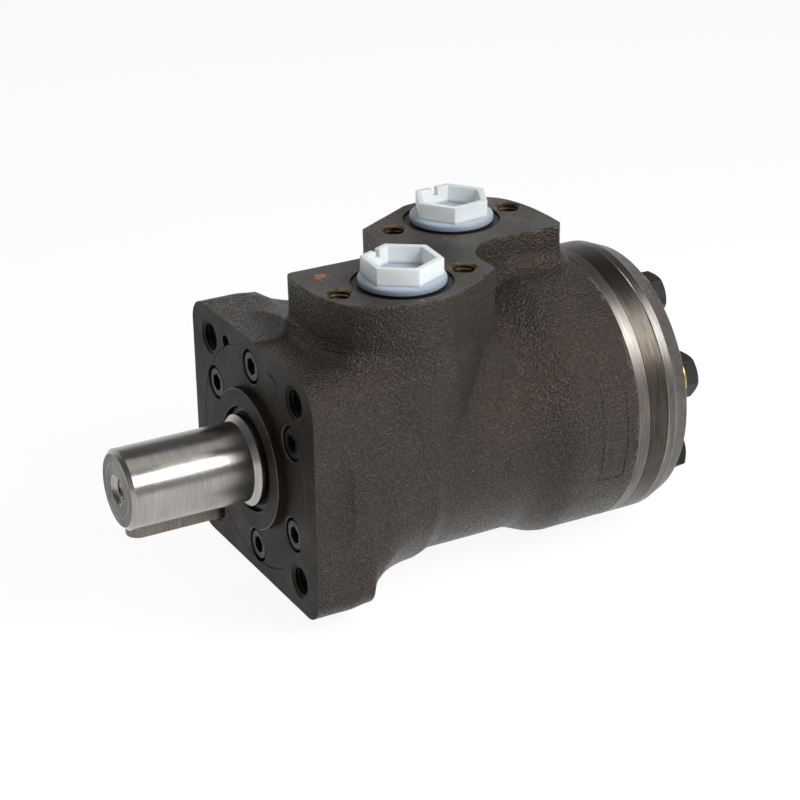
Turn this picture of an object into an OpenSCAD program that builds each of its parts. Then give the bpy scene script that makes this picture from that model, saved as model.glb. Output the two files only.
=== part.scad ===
// Orbital hydraulic motor with a square flange, side ports and a keyed shaft.
// The motor lies along Y: the shaft points to -Y, the end cover faces +Y and the ports face +Z.
// The origin is the centre of the flange's front face. All sizes are in millimetres.

/* [Flange] */
// Width of the square flange
flange_w = 82; // [80:0.5:90]
// Height of the square flange
flange_h = 77; // [74:0.5:84]
// Thickness of the flange
flange_t = 20; // [19:0.5:24]
// Radius of the flange's corners
flange_corner_r = 7; // [4:0.5:9]
// Bolt circle of the four mounting threads
flange_bolt_circle = 82.5; // [81:0.5:84]
// Diameter of the four mounting threads
flange_bolt_d = 10; // [8:1:10]
// Depth of the four mounting threads
flange_bolt_depth = 15; // [12:0.5:17]

/* [Housing] */
// Radius of the cast barrel behind the flange
barrel_r = 40.35; // [39.5:0.05:41]
// Where the barrel starts to widen into the rear drum
flare_start_y = 77.5; // [74:0.5:82]
// Where the widening ends
flare_end_y = 90; // [86:0.5:94]
// Radius of the webs where they leave the flange's back
web_r = 50.5; // [47:0.5:52]
// Where the webs run out into the barrel
web_end_y = 37.5; // [34:0.5:40]
// Place of the housing's rear face
rear_face_y = 111.1; // [109:0.1:114]
// Radius of the rear drum and of the plates behind it
drum_r = 44.45; // [44:0.05:46]
// Diameter of the bore that the spool runs in
bore_d = 38; // [37:0.1:38.5]
// Outer radius of the two ring galleries around the bore
gallery_r = 21.8; // [21:0.1:22]
// Width of the ring galleries
gallery_w = 9; // [7:0.5:10]

/* [Port block] */
// Height of the machined port face above the shaft's axis
port_face_z = 56; // [54:0.5:60]
// Distance of each port from the shaft's axis, to the sides
port_side_x = 20; // [19:0.5:21]
// Place of the front port along the motor
port_front_y = 41.3; // [40:0.1:43]
// Distance between the two ports along the motor
port_pitch_y = 40; // [38.5:0.5:40.5]
// Diameter of the ports' pipe thread
port_thread_d = 20.955; // [20:0.005:21.5]
// Depth of the ports' pipe thread
port_thread_depth = 16; // [14:0.5:17]
// Diameter of the round seat around each port
port_seat_d = 31; // [29:0.5:31.5]
// Depth of that seat
port_seat_depth = 0.6; // [0.4:0.1:1]
// Diameter of the cored chamber under each thread
port_core_d = 17.2; // [16:0.1:18]
// Height of that chamber's floor
port_core_z = 26; // [25:0.5:28]
// Radius of the round wall of each port lobe
lobe_r = 33; // [32:0.5:34]
// Distance from that wall's centre to the shaft's axis
lobe_centre_x = 6; // [5:0.5:7]
// Reach of a lobe past its port, towards the near end
lobe_near = 28; // [27:0.5:29]
// Reach of a lobe past its port, towards the middle
lobe_far = 29.2; // [28:0.1:30]
// How far a lobe's straight side goes past the middle
lobe_inner_x = 3; // [2:0.5:4]
// Radius of the lobes' sharp corners
lobe_corner_r = 3; // [1:0.5:4]
// Distance from that wall's centre to the flat on its slanting side
lobe_flat_reach = 31.4; // [31:0.1:32]
// Radius of the hollow corner between the two lobes
lobe_notch_r = 14; // [10:0.5:15]
// Diameter of the threads beside the ports
port_screw_d = 8; // [6:1:8]
// Distance between the two threads of one port
port_screw_pitch = 42; // [41:0.5:43]
// Depth of those threads
port_screw_depth = 13; // [10:0.5:14]
// How far the shoulder under the front lobe lies inside the flange's side
shoulder_inset = 1; // [0.5:0.1:2]
// Rounding of the shoulder's long edge
shoulder_r = 10; // [7:0.5:12]

/* [Front cover] */
// Diameter of the front cover
cover_d = 70; // [69:0.5:71]
// Thickness of the front cover
cover_t = 14; // [13.5:0.5:15]
// Diameter of the raised pilot
pilot_d = 44.4; // [44:0.1:45]
// Height of the pilot
pilot_h = 2.8; // [2.5:0.1:3.5]
// Diameter of the opening in the pilot
pilot_bore_d = 33; // [32.4:0.2:34.4]
// Circle of the six cover screws
cover_screw_circle = 60; // [59.5:0.5:61]
// Diameter of the cover screws
cover_screw_d = 6; // [5:0.5:6]
// Length of the cover screws under the head
cover_screw_len = 20; // [16:1:22]
// Diameter of the cover screws' heads
cover_screw_head_d = 10; // [9.5:0.5:10]
// Width of the gap around each screw head
cover_screw_head_gap = 0.5; // [0.3:0.1:0.6]
// Diameter of the front cover's sealing ring section
cover_ring_d = 1.96; // [1.8:0.02:2.2]

/* [Shaft] */
// Diameter of the output shaft
shaft_d = 25; // [24:0.5:25.5]
// Reach of the shaft in front of the flange
shaft_reach = 44.7; // [42:0.1:50]
// Diameter of the shaft under the seal
journal_d = 28.5; // [28:0.1:29]
// Where the shaft widens from one to the other
journal_start_y = -5.7; // [-6.5:0.1:-5]
// Running gap around the spool
spool_gap = 0.03; // [0.02:0.01:0.06]
// Distance from the spool's rear end to the housing's rear face
spool_end_gap = 13.1; // [12:0.1:14]
// Diameter of the threaded centre hole
centre_hole_d = 8; // [6:1:10]
// Depth of the centre hole
centre_hole_depth = 22; // [16:1:28]
// Width of the key
key_w = 8; // [6:0.5:8]
// Height of the key
key_h = 7; // [6:0.5:7]
// Length of the key
key_len = 32; // [25:1:34]
// Depth of the keyway
keyway_depth = 4; // [3.5:0.1:4.2]
// Distance of the key from the shaft's end
key_end_gap = 1.9; // [1.5:0.1:4]

/* [Thrust bearing] */
// Outer radius of the thrust washers and the needle cage
thrust_r = 20.3; // [19.5:0.1:20.4]
// Thickness of each thrust washer
thrust_washer_t = 1; // [0.8:0.1:1.2]
// Diameter of the thrust needles
needle_d = 2; // [1.8:0.1:2.2]
// Number of thrust needles
needle_count = 24; // [18:2:26]

/* [Gear set] */
// Number of lobes on the stator
stator_lobes = 7; // [7]
// Circle of the stator lobes' centres
lobe_circle_r = 30; // [29.5:0.1:30.5]
// Radius of each stator lobe
stator_lobe_r = 6; // [5.8:0.1:6.2]
// Distance between the rotor's and the stator's centre
eccentricity = 2.6; // [2.4:0.05:2.7]
// Gap between the rotor and the stator lobes
gear_gap = 0.12; // [0.1:0.01:0.15]
// Thickness of the gear set
gear_t = 6.7; // [6.5:0.1:12]
// Thickness of the channel plate
plate_t = 4.3; // [4:0.1:5]
// Thickness of the end cover
end_cover_t = 8.7; // [8.5:0.1:12]
// Angle of the first stator lobe from +X towards +Z
gear_turn = 67.65; // [66:0.05:69]

/* [End bolts] */
// Bolt circle of the end bolts
end_bolt_circle = 64.8; // [64:0.2:66]
// Diameter of the end bolts
end_bolt_d = 8; // [7:0.5:8]
// Length of thread in the housing
end_bolt_grip = 16; // [12:0.5:18]
// Width across the flats of the bolt heads
end_bolt_head_af = 13; // [11:0.5:13]
// Height of the bolt heads
end_bolt_head_h = 5.3; // [5:0.1:6]
// Thickness of the sealing washers
washer_t = 2; // [1.6:0.1:2.4]
// Outer diameter of the sealing washers
washer_d = 15.6; // [14.5:0.1:16]

/* [Cardan shaft] */
// Number of spline teeth
spline_teeth = 12; // [10:2:14]
// Radius of the cardan's tooth tips
spline_tip_r = 11; // [10.6:0.1:11.2]
// Radius between the cardan's teeth
spline_root_r = 9.2; // [9:0.1:9.4]
// Width of a cardan tooth
spline_tooth_w = 2.2; // [2:0.1:2.3]
// Gap between meshing splines
spline_gap = 0.4; // [0.38:0.01:0.5]
// Radius of the cardan's neck
cardan_neck_r = 8; // [7:0.1:8.5]
// Middle of the front splines
front_spline_y = 38; // [37:0.5:39]
// Length of the front splines
front_spline_len = 13; // [10:0.5:14]

/* [Port plugs] */
// Diameter of a plug's rim
plug_rim_d = 26.8; // [26:0.2:28]
// Thickness of that rim
plug_rim_t = 2.8; // [1.5:0.1:3.2]
// Width across the flats of a plug's head
plug_head_af = 21.6; // [20:0.2:22]
// Height of a plug's head above its rim
plug_head_h = 5.4; // [5:0.1:8]
// Wall of the plug
plug_wall = 2; // [1.6:0.1:2.4]
// Length of the plug below its rim
plug_thread_len = 11; // [8:0.5:12]
// How far a port plug lifts when it is taken out
plug_travel = 25; // [15:1:25]

/* [Drain] */
// Place of the drain port along the motor
drain_y = 56; // [54:0.5:57.5]
// Diameter of the drain thread
drain_d = 13.157; // [12:0.001:14]
// Depth of the drain thread
drain_depth = 12; // [10:0.5:12.5]
// Diameter of the flat seat around it
drain_seat_d = 21; // [20:0.5:23]
// Depth of that seat from the barrel's side
drain_seat_depth = 1.6; // [1.4:0.1:2]

/* [Hidden] */
$fn = 96;

// A cut goes this far past the face that it opens
over = 1;
// Gap between pieces that are pushed or screwed together
fit_gap = 0.05;
// Gap between a stationary piece and one that moves
run_gap = 0.2;

// Colours, as the photograph shows them
cast_colour = [0.27, 0.25, 0.23];
steel_colour = [0.72, 0.71, 0.69];
dark_steel_colour = [0.30, 0.29, 0.27];
black_colour = [0.10, 0.10, 0.10];
rubber_colour = [0.06, 0.06, 0.06];
brass_colour = [0.80, 0.62, 0.25];
plug_colour = [0.80, 0.87, 0.90];

// Places along the motor
spool_start_y = cover_t;
spool_end_y = rear_face_y - spool_end_gap;
plate_end_y = rear_face_y + plate_t;
gear_end_y = plate_end_y + gear_t;
cover_end_y = gear_end_y + end_cover_t;
port_rear_y = port_front_y + port_pitch_y;
port_middle_y = (port_front_y + port_rear_y) / 2;
bore_r = bore_d / 2;
spool_r = bore_r - spool_gap;
journal_r = journal_d / 2;
shaft_r = shaft_d / 2;

// Web and cover details
web_start_y = flange_t - 2;
web_start_r = web_r + 1.5;
cone_bite = 0.2;
notch_crease = 0.2;
lobe_flat_turn = 30.4;
lobe_tip_r = 3.5;
lobe_tip_inset = lobe_tip_r - 0.1;
lobe_tip_y = lobe_far - lobe_tip_inset;
lobe_tip_x = (lobe_flat_reach - lobe_tip_inset - lobe_tip_y * sin(lobe_flat_turn)) / cos(lobe_flat_turn);
edge_chamfer = 0.8;
cover_gap = 0.05;
cover_screw_head_h = cover_screw_d;
cover_screw_head_y = 0.4;
cover_screw_hex_af = 5;
cover_screw_hex_depth = 3;
counterbore_r = cover_screw_head_d / 2 + cover_screw_head_gap;
counterbore_depth = cover_screw_head_y + cover_screw_head_h;
ring_groove_y = 10.2;
ring_groove_w = cover_ring_d + 0.4;
ring_groove_r = cover_d / 2 - cover_ring_d;
pry_notch_angle = 118;
pry_notch_r = 2.2;
pry_notch_depth = 4;

// Seals
seal_y = 2.6;
seal_t = 6.6;
seal_r = 19.4;
seal_lip_gap = 0.05;
seal_wall = 1.5;
seal_lip_t = 1.2;
seal_relief = 3;
seal_relief_gap = 0.3;
dust_seal_y = -0.9;
dust_seal_t = 1.8;
cover_rib_r = journal_r + 0.9;

// Thrust bearing, from the spool's face forwards
thrust_rear_y = spool_start_y - thrust_washer_t;
thrust_cage_y = thrust_rear_y - needle_d;
thrust_front_y = thrust_cage_y - thrust_washer_t;
thrust_inner_r = journal_r + run_gap;
thrust_pocket_r = thrust_r + 0.3;
cage_t = needle_d - 0.5;
cage_inset = 0.3;
needle_len = 4;
needle_gap = 0.06;
needle_mid_r = (thrust_r + thrust_inner_r) / 2;
bore_entry_r = thrust_r + 0.8;
bore_entry_depth = 1.5;

// Gear set, channels and stack seals
lobe_step = 360 / stator_lobes;
rotor_lobes = stator_lobes - 1;
rotor_points = 30;
valley_r = lobe_circle_r + 2 * eccentricity - stator_lobe_r + 0.4;
rotor_side_gap = 0.02;
// Turn of the rotor at which its centre lies straight above the stator's
rotor_turn = (stator_lobes * gear_turn - 90) / rotor_lobes;
passage_r = 2.9;
passage_circle_r = 26.6;
passage_turn = gear_turn - lobe_step / 2;
window_r = 3;
window_bite = 3;
plate_hole_r = 14.6;
stack_ring_inset = 2.25;
stack_ring_r = drum_r - stack_ring_inset;
stack_ring_section = 1.7;
stack_groove_w = 2.2;
stack_groove_depth = 1.4;
cover_taper = 2.1;
cover_taper_len = 5.6;

// Channel from a port's chamber to its ring gallery
channel_offset_x = 2.5;
channel_offset_z = 4;
channel_lean = 206;
channel_len = 16;
channel_r = 4.2;

// Spool
shaft_chamfer = 1.4;
centre_chamfer = 1.2;
keyway_play = 0.02;
groove_inset = 0.5;
spline_relief = 3;
spline_relief_r = spline_root_r - 0.4;
spool_groove_r = 16;
slot_w = 4.4;
slot_r = 16.2;
slot_land = 3.2;
slot_turn = rotor_turn + 15;
shaft_bore_r = 13.2;
shaft_bore_y = front_spline_y + front_spline_len / 2 + 2;
spline_floor_y = front_spline_y - front_spline_len / 2 - 1;
spline_hub_r = spline_root_r + spline_gap;
spline_slot_r = spline_tip_r + spline_gap + 0.1;
spline_slot_w = spline_tooth_w + 2 * spline_gap;

// Cardan shaft, from the shaft's centre line to the rotor's
rotor_mid_y = plate_end_y + gear_t / 2;
cardan_run = rotor_mid_y - front_spline_y;
cardan_tilt = atan(eccentricity / cardan_run);
cardan_len = sqrt(cardan_run * cardan_run + eccentricity * eccentricity);
cardan_end_gap = 0.5;
rear_spline_len = 13;
cardan_chamfer = 0.8;
stop_disc_r = 12;
stop_disc_t = 2.5;
stop_disc_gap = 0.25;
stop_pocket_depth = stop_disc_t + stop_disc_gap + 0.1;

// Check valves: a ball and a stop screw in a bore behind each port
check_angle_a = 54.8;
check_angle_b = 132.1;
check_circle_r = 36.5;
check_bore_r = 2.75;
check_drill_r = 1.6;
check_ball_r = 2.5;
check_travel = 1.2;
check_seat_y = spool_end_y - 1;
check_ball_y = check_seat_y + sqrt(check_ball_r * check_ball_r - check_drill_r * check_drill_r) + 0.05;
check_stop_y = check_ball_y + check_ball_r + check_travel + 0.1;
check_screw_y = check_stop_y + 1.5;
check_drain_y = check_ball_y + 2.2;
check_drain_r = 1.1;
check_stop_pin_r = 1.55;
check_screw_gap = 0.5;
check_hex_r = 1.2;
check_hex_depth = 2.5;

// Port plugs: the slot is cut into the middle of one flat side
plug_stem_gap = 0.15;
plug_slot_turn = 150;
plug_slot_w = 2;
plug_slot_depth = 2.5;
plug_turn_a = 55;
plug_turn_b = 35.5;

// End bolts
end_bolt_r = end_bolt_d / 2;
end_bolt_hole_r = end_bolt_r + 0.3;
end_bolt_end_y = rear_face_y - end_bolt_grip;
washer_hole_r = end_bolt_r + 0.15;

// Drain port and its plug
drain_face_x = barrel_r - drain_seat_depth;
drain_gallery_x = 25;
drain_gallery_r = 2;
drain_cross_r = 2.5;
drain_pocket_x = 22.5;
drain_pocket_r = 3;
drain_pocket_depth = 1;
drain_cut_reach = 6.6;
drain_plug_gap = 2;
drain_washer_t = 1.5;
drain_washer_r = 9.5;
drain_head_r = 9;
drain_head_h = 4;
drain_hex_af = 6;

// Places a child at radius r and angle a, from +X towards +Z
module at_angle(a, r) {
    rotate([0, -a, 0]) translate([r, 0, 0]) children();
}

// Repeats a child around the motor's axis
module around(count, first, r) {
    for (i = [0 : count - 1]) at_angle(first + i * 360 / count, r) children();
}

// Round bar along Y, from y0 to y1
module bar(y0, y1, r0, r1 = -1) {
    translate([0, y0, 0]) rotate([-90, 0, 0])
        cylinder(h = y1 - y0, r1 = r0, r2 = r1 < 0 ? r0 : r1);
}

// Ring along Y, from y0 to y1
module ring(y0, y1, outer, inner) {
    difference() {
        bar(y0, y1, outer);
        bar(y0 - over, y1 + over, inner);
    }
}

// Round bar along -X, from x0 to x1
module side_bar(x0, x1, r) {
    translate([-x0, 0, 0]) rotate([0, -90, 0]) cylinder(h = x1 - x0, r = r);
}

// Solid of an outline drawn in X and Z, from y0 to y1
module slab(y0, y1) {
    translate([0, y1, 0]) rotate([90, 0, 0]) linear_extrude(y1 - y0) children();
}

// Sealing ring with a round section
module round_ring(y, r, section) {
    translate([0, y, 0]) rotate([-90, 0, 0]) rotate_extrude() translate([r, 0]) circle(d = section, $fn = 32);
}

// What a rounded corner takes off: the corner is at the origin and points to +X and +Y
module corner_cut(r) {
    translate([-r, -r]) difference() {
        square(r + over);
        circle(r = r);
    }
}

// Outline of the flange
module flange_outline() {
    difference() {
        square([flange_w, flange_h], center = true);
        for (sx = [-1, 1], sz = [-1, 1])
            scale([sx, sz]) translate([flange_w / 2, flange_h / 2]) corner_cut(flange_corner_r);
    }
}

// Outline of the front port lobe, seen from above
module lobe_outline() {
    near_y = port_front_y - lobe_near;
    far_y = port_front_y + lobe_far;
    out = [cos(lobe_flat_turn), sin(lobe_flat_turn)];
    tip = [lobe_tip_x, lobe_tip_y];
    difference() {
        intersection() {
            translate([lobe_centre_x, port_front_y]) {
                circle(r = lobe_r);
                translate(tip) circle(r = lobe_tip_r);
                polygon([[0, 0], lobe_r * out, tip + lobe_tip_r * out, tip]);
            }
            translate([-lobe_inner_x, near_y]) square([flange_w, far_y - near_y]);
            translate([lobe_centre_x, port_front_y]) rotate(lobe_flat_turn)
                translate([lobe_flat_reach - flange_w, -flange_w]) square([flange_w, 2 * flange_w]);
        }
        translate([-lobe_inner_x, near_y]) rotate(180) corner_cut(lobe_corner_r);
    }
}

// Hollow corner between the front lobe and the rear one
module notch_outline() {
    translate([lobe_inner_x, port_front_y + lobe_far]) difference() {
        translate([-over, -over]) square(lobe_notch_r + over - notch_crease);
        translate([lobe_notch_r - notch_crease, lobe_notch_r - notch_crease]) circle(r = lobe_notch_r);
    }
}

// Repeats a child turned half a turn about the middle of the port block
module both_lobes() {
    children();
    translate([0, 2 * port_middle_y, 0]) rotate([0, 0, 180]) children();
}

// The casting before it is machined
module casting() {
    slab(0, flange_t) flange_outline();
    intersection() {
        bar(web_start_y, web_end_y, web_start_r, barrel_r - cone_bite);
        slab(0, web_end_y) flange_outline();
    }
    bar(web_start_y, flare_start_y + over, barrel_r);
    bar(flare_start_y, flare_end_y, barrel_r - cone_bite, drum_r);
    bar(flare_end_y, rear_face_y, drum_r);
    linear_extrude(port_face_z) both_lobes() {
        lobe_outline();
        notch_outline();
    }
    shoulder();
}

// Shoulder that joins the flange's side to the front lobe
module shoulder() {
    shoulder_x = flange_w / 2 - shoulder_inset;
    shoulder_z = flange_h / 2;
    slab(web_start_y, port_front_y) difference() {
        square([shoulder_x, shoulder_z]);
        translate([shoulder_x, shoulder_z]) corner_cut(shoulder_r);
    }
}

// Threads, seat and chamber of one port, with the way to its ring gallery
module port_cut() {
    translate([port_side_x, port_front_y, 0]) {
        translate([0, 0, port_face_z - port_thread_depth])
            cylinder(h = port_thread_depth + over, d = port_thread_d);
        translate([0, 0, port_face_z - port_seat_depth]) cylinder(h = port_seat_depth + over, d = port_seat_d);
        translate([0, 0, port_core_z]) cylinder(h = port_face_z - port_core_z, d = port_core_d);
        translate([-channel_offset_x, 0, port_core_z + channel_offset_z]) rotate([0, channel_lean, 0])
            cylinder(h = channel_len, r = channel_r);
        for (side = [-1, 1])
            translate([0, side * port_screw_pitch / 2, port_face_z - port_screw_depth])
                cylinder(h = port_screw_depth + over, d = port_screw_d);
    }
}

// Bore, seat and drillings of one check valve, which ends at the port at y
module check_cut(a, y) {
    at_angle(a, check_circle_r) {
        bar(y, rear_face_y, check_drill_r);
        bar(check_seat_y, rear_face_y + over, check_bore_r);
    }
    rotate([0, -a, 0]) translate([bore_r - over, check_drain_y, 0]) rotate([0, 90, 0])
        cylinder(h = check_circle_r - bore_r + over, r = check_drain_r);
}

module housing() {
    color(cast_colour) difference() {
        casting();
        bar(-over, cover_t, cover_d / 2 + cover_gap);
        bar(cover_t - over, cover_t + bore_entry_depth, bore_entry_r);
        bar(cover_t, rear_face_y + over, bore_r);
        around(6, 30, cover_screw_circle / 2) {
            bar(-over, counterbore_depth, counterbore_r);
            bar(0, counterbore_depth + cover_screw_len + over, cover_screw_d / 2 + fit_gap);
        }
        at_angle(pry_notch_angle, cover_d / 2 + pry_notch_r / 2) bar(-over, pry_notch_depth, pry_notch_r);
        around(4, 45, flange_bolt_circle / 2) {
            bar(-over, flange_bolt_depth, flange_bolt_d / 2);
        }
        both_lobes() port_cut();
        for (y = [port_front_y, port_rear_y]) bar(y - gallery_w / 2, y + gallery_w / 2, gallery_r);
        around(stator_lobes, passage_turn, passage_circle_r)
            bar(port_middle_y - window_r - over, rear_face_y + over, passage_r);
        for (i = [0 : stator_lobes - 1])
            rotate([0, -passage_turn - i * lobe_step, 0]) translate([bore_r - window_bite, port_middle_y, 0])
                rotate([0, 90, 0]) cylinder(h = passage_circle_r - bore_r + window_bite, r = window_r);
        around(stator_lobes, gear_turn, end_bolt_circle / 2)
            bar(end_bolt_end_y - over, rear_face_y + over, end_bolt_r + fit_gap);
        ring(rear_face_y - stack_groove_depth, rear_face_y + over,
             stack_ring_r + stack_groove_w / 2, stack_ring_r - stack_groove_w / 2);
        check_cut(check_angle_a, port_front_y);
        check_cut(check_angle_b, port_rear_y);
        translate([0, drain_y, 0]) {
            side_bar(drain_face_x, drain_face_x + drain_cut_reach, drain_seat_d / 2);
            side_bar(drain_face_x - drain_depth, drain_face_x + over, drain_d / 2);
            side_bar(drain_gallery_x - over, drain_face_x, drain_cross_r);
        }
        translate([-drain_gallery_x, 0, 0]) bar(cover_t - over, drain_y, drain_gallery_r);
        translate([-drain_pocket_x, 0, 0]) bar(cover_t - over, cover_t + drain_pocket_depth, drain_pocket_r);
    }
}

module front_cover() {
    color(cast_colour) difference() {
        union() {
            bar(0, cover_t, cover_d / 2);
            bar(-pilot_h, over, pilot_d / 2);
        }
        bar(-pilot_h - over, dust_seal_y + dust_seal_t, pilot_bore_d / 2);
        bar(-pilot_h - edge_chamfer, -pilot_h + edge_chamfer,
            pilot_bore_d / 2 + 2 * edge_chamfer, pilot_bore_d / 2);
        bar(-over, seal_y + over, cover_rib_r);
        bar(seal_y, cover_t, seal_r + fit_gap);
        bar(thrust_front_y, cover_t + over, thrust_pocket_r);
        ring(ring_groove_y, ring_groove_y + ring_groove_w, cover_d, ring_groove_r);
        around(6, 30, cover_screw_circle / 2) {
            bar(-over, counterbore_depth, counterbore_r);
            bar(0, cover_t + over, cover_screw_d / 2 + run_gap);
        }
    }
}

module front_cover_screws() {
    color(black_colour) around(6, 30, cover_screw_circle / 2) difference() {
        union() {
            bar(cover_screw_head_y, counterbore_depth, cover_screw_head_d / 2);
            bar(counterbore_depth - over, counterbore_depth + cover_screw_len, cover_screw_d / 2);
        }
        translate([0, cover_screw_head_y - over, 0]) rotate([-90, 0, 0])
            cylinder(h = cover_screw_hex_depth + over, r = cover_screw_hex_af / sqrt(3), $fn = 6);
    }
}

module front_cover_ring() {
    color(rubber_colour)
        round_ring(ring_groove_y + ring_groove_w / 2, (ring_groove_r + cover_d / 2 + cover_gap) / 2, cover_ring_d);
}

module shaft_seal() {
    lip_r = journal_r + seal_lip_gap;
    color(rubber_colour) difference() {
        bar(seal_y, seal_y + seal_t, seal_r);
        bar(seal_y - over, seal_y + seal_t + over, lip_r);
        ring(seal_y + seal_wall, seal_y + seal_t + over, seal_r - seal_wall, lip_r + seal_lip_t);
        bar(seal_y + seal_t - seal_relief, seal_y + seal_t + over, lip_r + seal_relief_gap);
    }
}

module dust_seal() {
    lip_r = journal_r + seal_lip_gap;
    color(rubber_colour) ring(dust_seal_y, dust_seal_y + dust_seal_t, pilot_bore_d / 2 - fit_gap, lip_r);
}

// Straight sides of the spline, for the cardan or for what it turns in
module spline_outline(root, tip, width) {
    intersection() {
        circle(r = tip);
        union() {
            circle(r = root);
            for (i = [0 : spline_teeth - 1])
                rotate(i * 360 / spline_teeth) translate([0, -width / 2]) square([tip + over, width]);
        }
    }
}

// Keyway-shaped block with round ends, pointing to -Z from z0 to z1
module key_shape(width, z0, z1) {
    key_start_y = -shaft_reach + key_end_gap;
    for (y = [key_start_y + key_w / 2, key_start_y + key_len - key_w / 2])
        translate([0, y, -z1]) cylinder(h = z1 - z0, d = width);
    translate([-width / 2, key_start_y + key_w / 2, -z1]) cube([width, key_len - key_w, z1 - z0]);
}

// Slots of the spool that open into the gallery at y0 and end at y1
module spool_slots(y0, y1, first) {
    around(6, first, slot_r)
        translate([0, min(y0, y1), -slot_w / 2]) cube([bore_r, abs(y1 - y0), slot_w]);
}

module output_shaft() {
    land_y = port_middle_y + slot_land;
    color(steel_colour) difference() {
        union() {
            bar(-shaft_reach, -shaft_reach + shaft_chamfer, shaft_r - shaft_chamfer, shaft_r);
            bar(-shaft_reach + shaft_chamfer, journal_start_y, shaft_r);
            bar(journal_start_y, journal_start_y + journal_r - shaft_r, shaft_r, journal_r);
            bar(journal_start_y + journal_r - shaft_r, spool_start_y + over, journal_r);
            bar(spool_start_y, spool_end_y, spool_r);
        }
        bar(-shaft_reach - over, -shaft_reach + centre_hole_depth, centre_hole_d / 2);
        bar(-shaft_reach - over, -shaft_reach + centre_chamfer,
            centre_hole_d / 2 + centre_chamfer + over, centre_hole_d / 2);
        key_shape(key_w + keyway_play, shaft_r - keyway_depth, shaft_r + over);
        for (y = [port_front_y, port_rear_y])
            ring(y - gallery_w / 2 + groove_inset, y + gallery_w / 2 - groove_inset, bore_r + over, spool_groove_r);
        spool_slots(port_front_y, land_y, slot_turn);
        spool_slots(port_rear_y, 2 * port_middle_y - land_y, slot_turn + 180 / rotor_lobes);
        bar(shaft_bore_y, spool_end_y + over, shaft_bore_r);
        slab(spline_floor_y, shaft_bore_y + over)
            spline_outline(spline_hub_r, spline_slot_r, spline_slot_w);
        bar(spline_floor_y - spline_relief, spline_floor_y + over, spline_relief_r);
    }
}

module shaft_key() {
    color(steel_colour) key_shape(key_w, shaft_r - keyway_depth + fit_gap, shaft_r - keyway_depth + key_h);
}

module thrust_washer_front() {
    color(steel_colour) ring(thrust_front_y, thrust_cage_y, thrust_r, thrust_inner_r);
}

module thrust_needle_cage() {
    cage_mid_y = thrust_cage_y + needle_d / 2;
    color(brass_colour) difference() {
        ring(cage_mid_y - cage_t / 2, cage_mid_y + cage_t / 2, thrust_r - cage_inset, thrust_inner_r + cage_inset);
        around(needle_count, 0, needle_mid_r - needle_len / 2 - needle_gap)
            translate([0, cage_mid_y - needle_d, -needle_d / 2])
                cube([needle_len + 2 * needle_gap, 2 * needle_d, needle_d]);
    }
}

module thrust_needles() {
    color(steel_colour) around(needle_count, 0, needle_mid_r - needle_len / 2)
        translate([0, thrust_cage_y + needle_d / 2, 0]) rotate([0, 90, 0])
            cylinder(h = needle_len, r = needle_d / 2 - needle_gap / 2, $fn = 24);
}

module thrust_washer_rear() {
    color(steel_colour) ring(thrust_rear_y, spool_start_y, thrust_r, journal_r + keyway_play);
}

// The cardan lies along Y from the front splines' middle; it is tilted where it is placed
module cardan_straight() {
    tooth_y = [-front_spline_len / 2, cardan_len - rear_spline_len + gear_t / 2 - cardan_end_gap];
    tooth_len = [front_spline_len, rear_spline_len];
    bar(0, cardan_len, cardan_neck_r);
    for (i = [0, 1]) intersection() {
        slab(tooth_y[i], tooth_y[i] + tooth_len[i])
            spline_outline(spline_root_r, spline_tip_r, spline_tooth_w);
        union() {
            bar(tooth_y[i], tooth_y[i] + cardan_chamfer, spline_tip_r - cardan_chamfer, spline_tip_r);
            bar(tooth_y[i] + cardan_chamfer, tooth_y[i] + tooth_len[i] - cardan_chamfer, spline_tip_r);
            bar(tooth_y[i] + tooth_len[i] - cardan_chamfer, tooth_y[i] + tooth_len[i],
                spline_tip_r, spline_tip_r - cardan_chamfer);
        }
    }
}

module cardan_shaft() {
    color(dark_steel_colour)
        translate([0, front_spline_y, 0]) rotate([cardan_tilt, 0, 0]) cardan_straight();
}

module channel_plate() {
    color(steel_colour) difference() {
        bar(rear_face_y, plate_end_y, drum_r);
        bar(rear_face_y - over, plate_end_y + over, plate_hole_r);
        around(stator_lobes, passage_turn, passage_circle_r)
            bar(rear_face_y - over, plate_end_y + over, passage_r);
        around(stator_lobes, gear_turn, end_bolt_circle / 2)
            bar(rear_face_y - over, plate_end_y + over, end_bolt_hole_r);
    }
}

module stator() {
    groove_outer = stack_ring_r + stack_groove_w / 2;
    groove_inner = stack_ring_r - stack_groove_w / 2;
    color(dark_steel_colour) difference() {
        slab(plate_end_y, gear_end_y) difference() {
            circle(r = drum_r);
            difference() {
                circle(r = valley_r);
                for (i = [0 : stator_lobes - 1])
                    rotate(gear_turn + i * lobe_step) translate([lobe_circle_r, 0]) circle(r = stator_lobe_r);
            }
        }
        around(stator_lobes, gear_turn, end_bolt_circle / 2)
            bar(plate_end_y - over, gear_end_y + over, end_bolt_hole_r);
        ring(plate_end_y - over, plate_end_y + stack_groove_depth, groove_outer, groove_inner);
        ring(gear_end_y - stack_groove_depth, gear_end_y + over, groove_outer, groove_inner);
    }
}

// Point of the rotor's outline: the path of a stator lobe's centre, moved in by its radius
function rotor_point(t) =
    let (n = stator_lobes,
         path = [lobe_circle_r * cos(t) - eccentricity * cos(n * t),
                 lobe_circle_r * sin(t) - eccentricity * sin(n * t)],
         along = [-lobe_circle_r * sin(t) + n * eccentricity * sin(n * t),
                  lobe_circle_r * cos(t) - n * eccentricity * cos(n * t)])
    path + [-along.y, along.x] / norm(along) * (stator_lobe_r + gear_gap);

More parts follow.
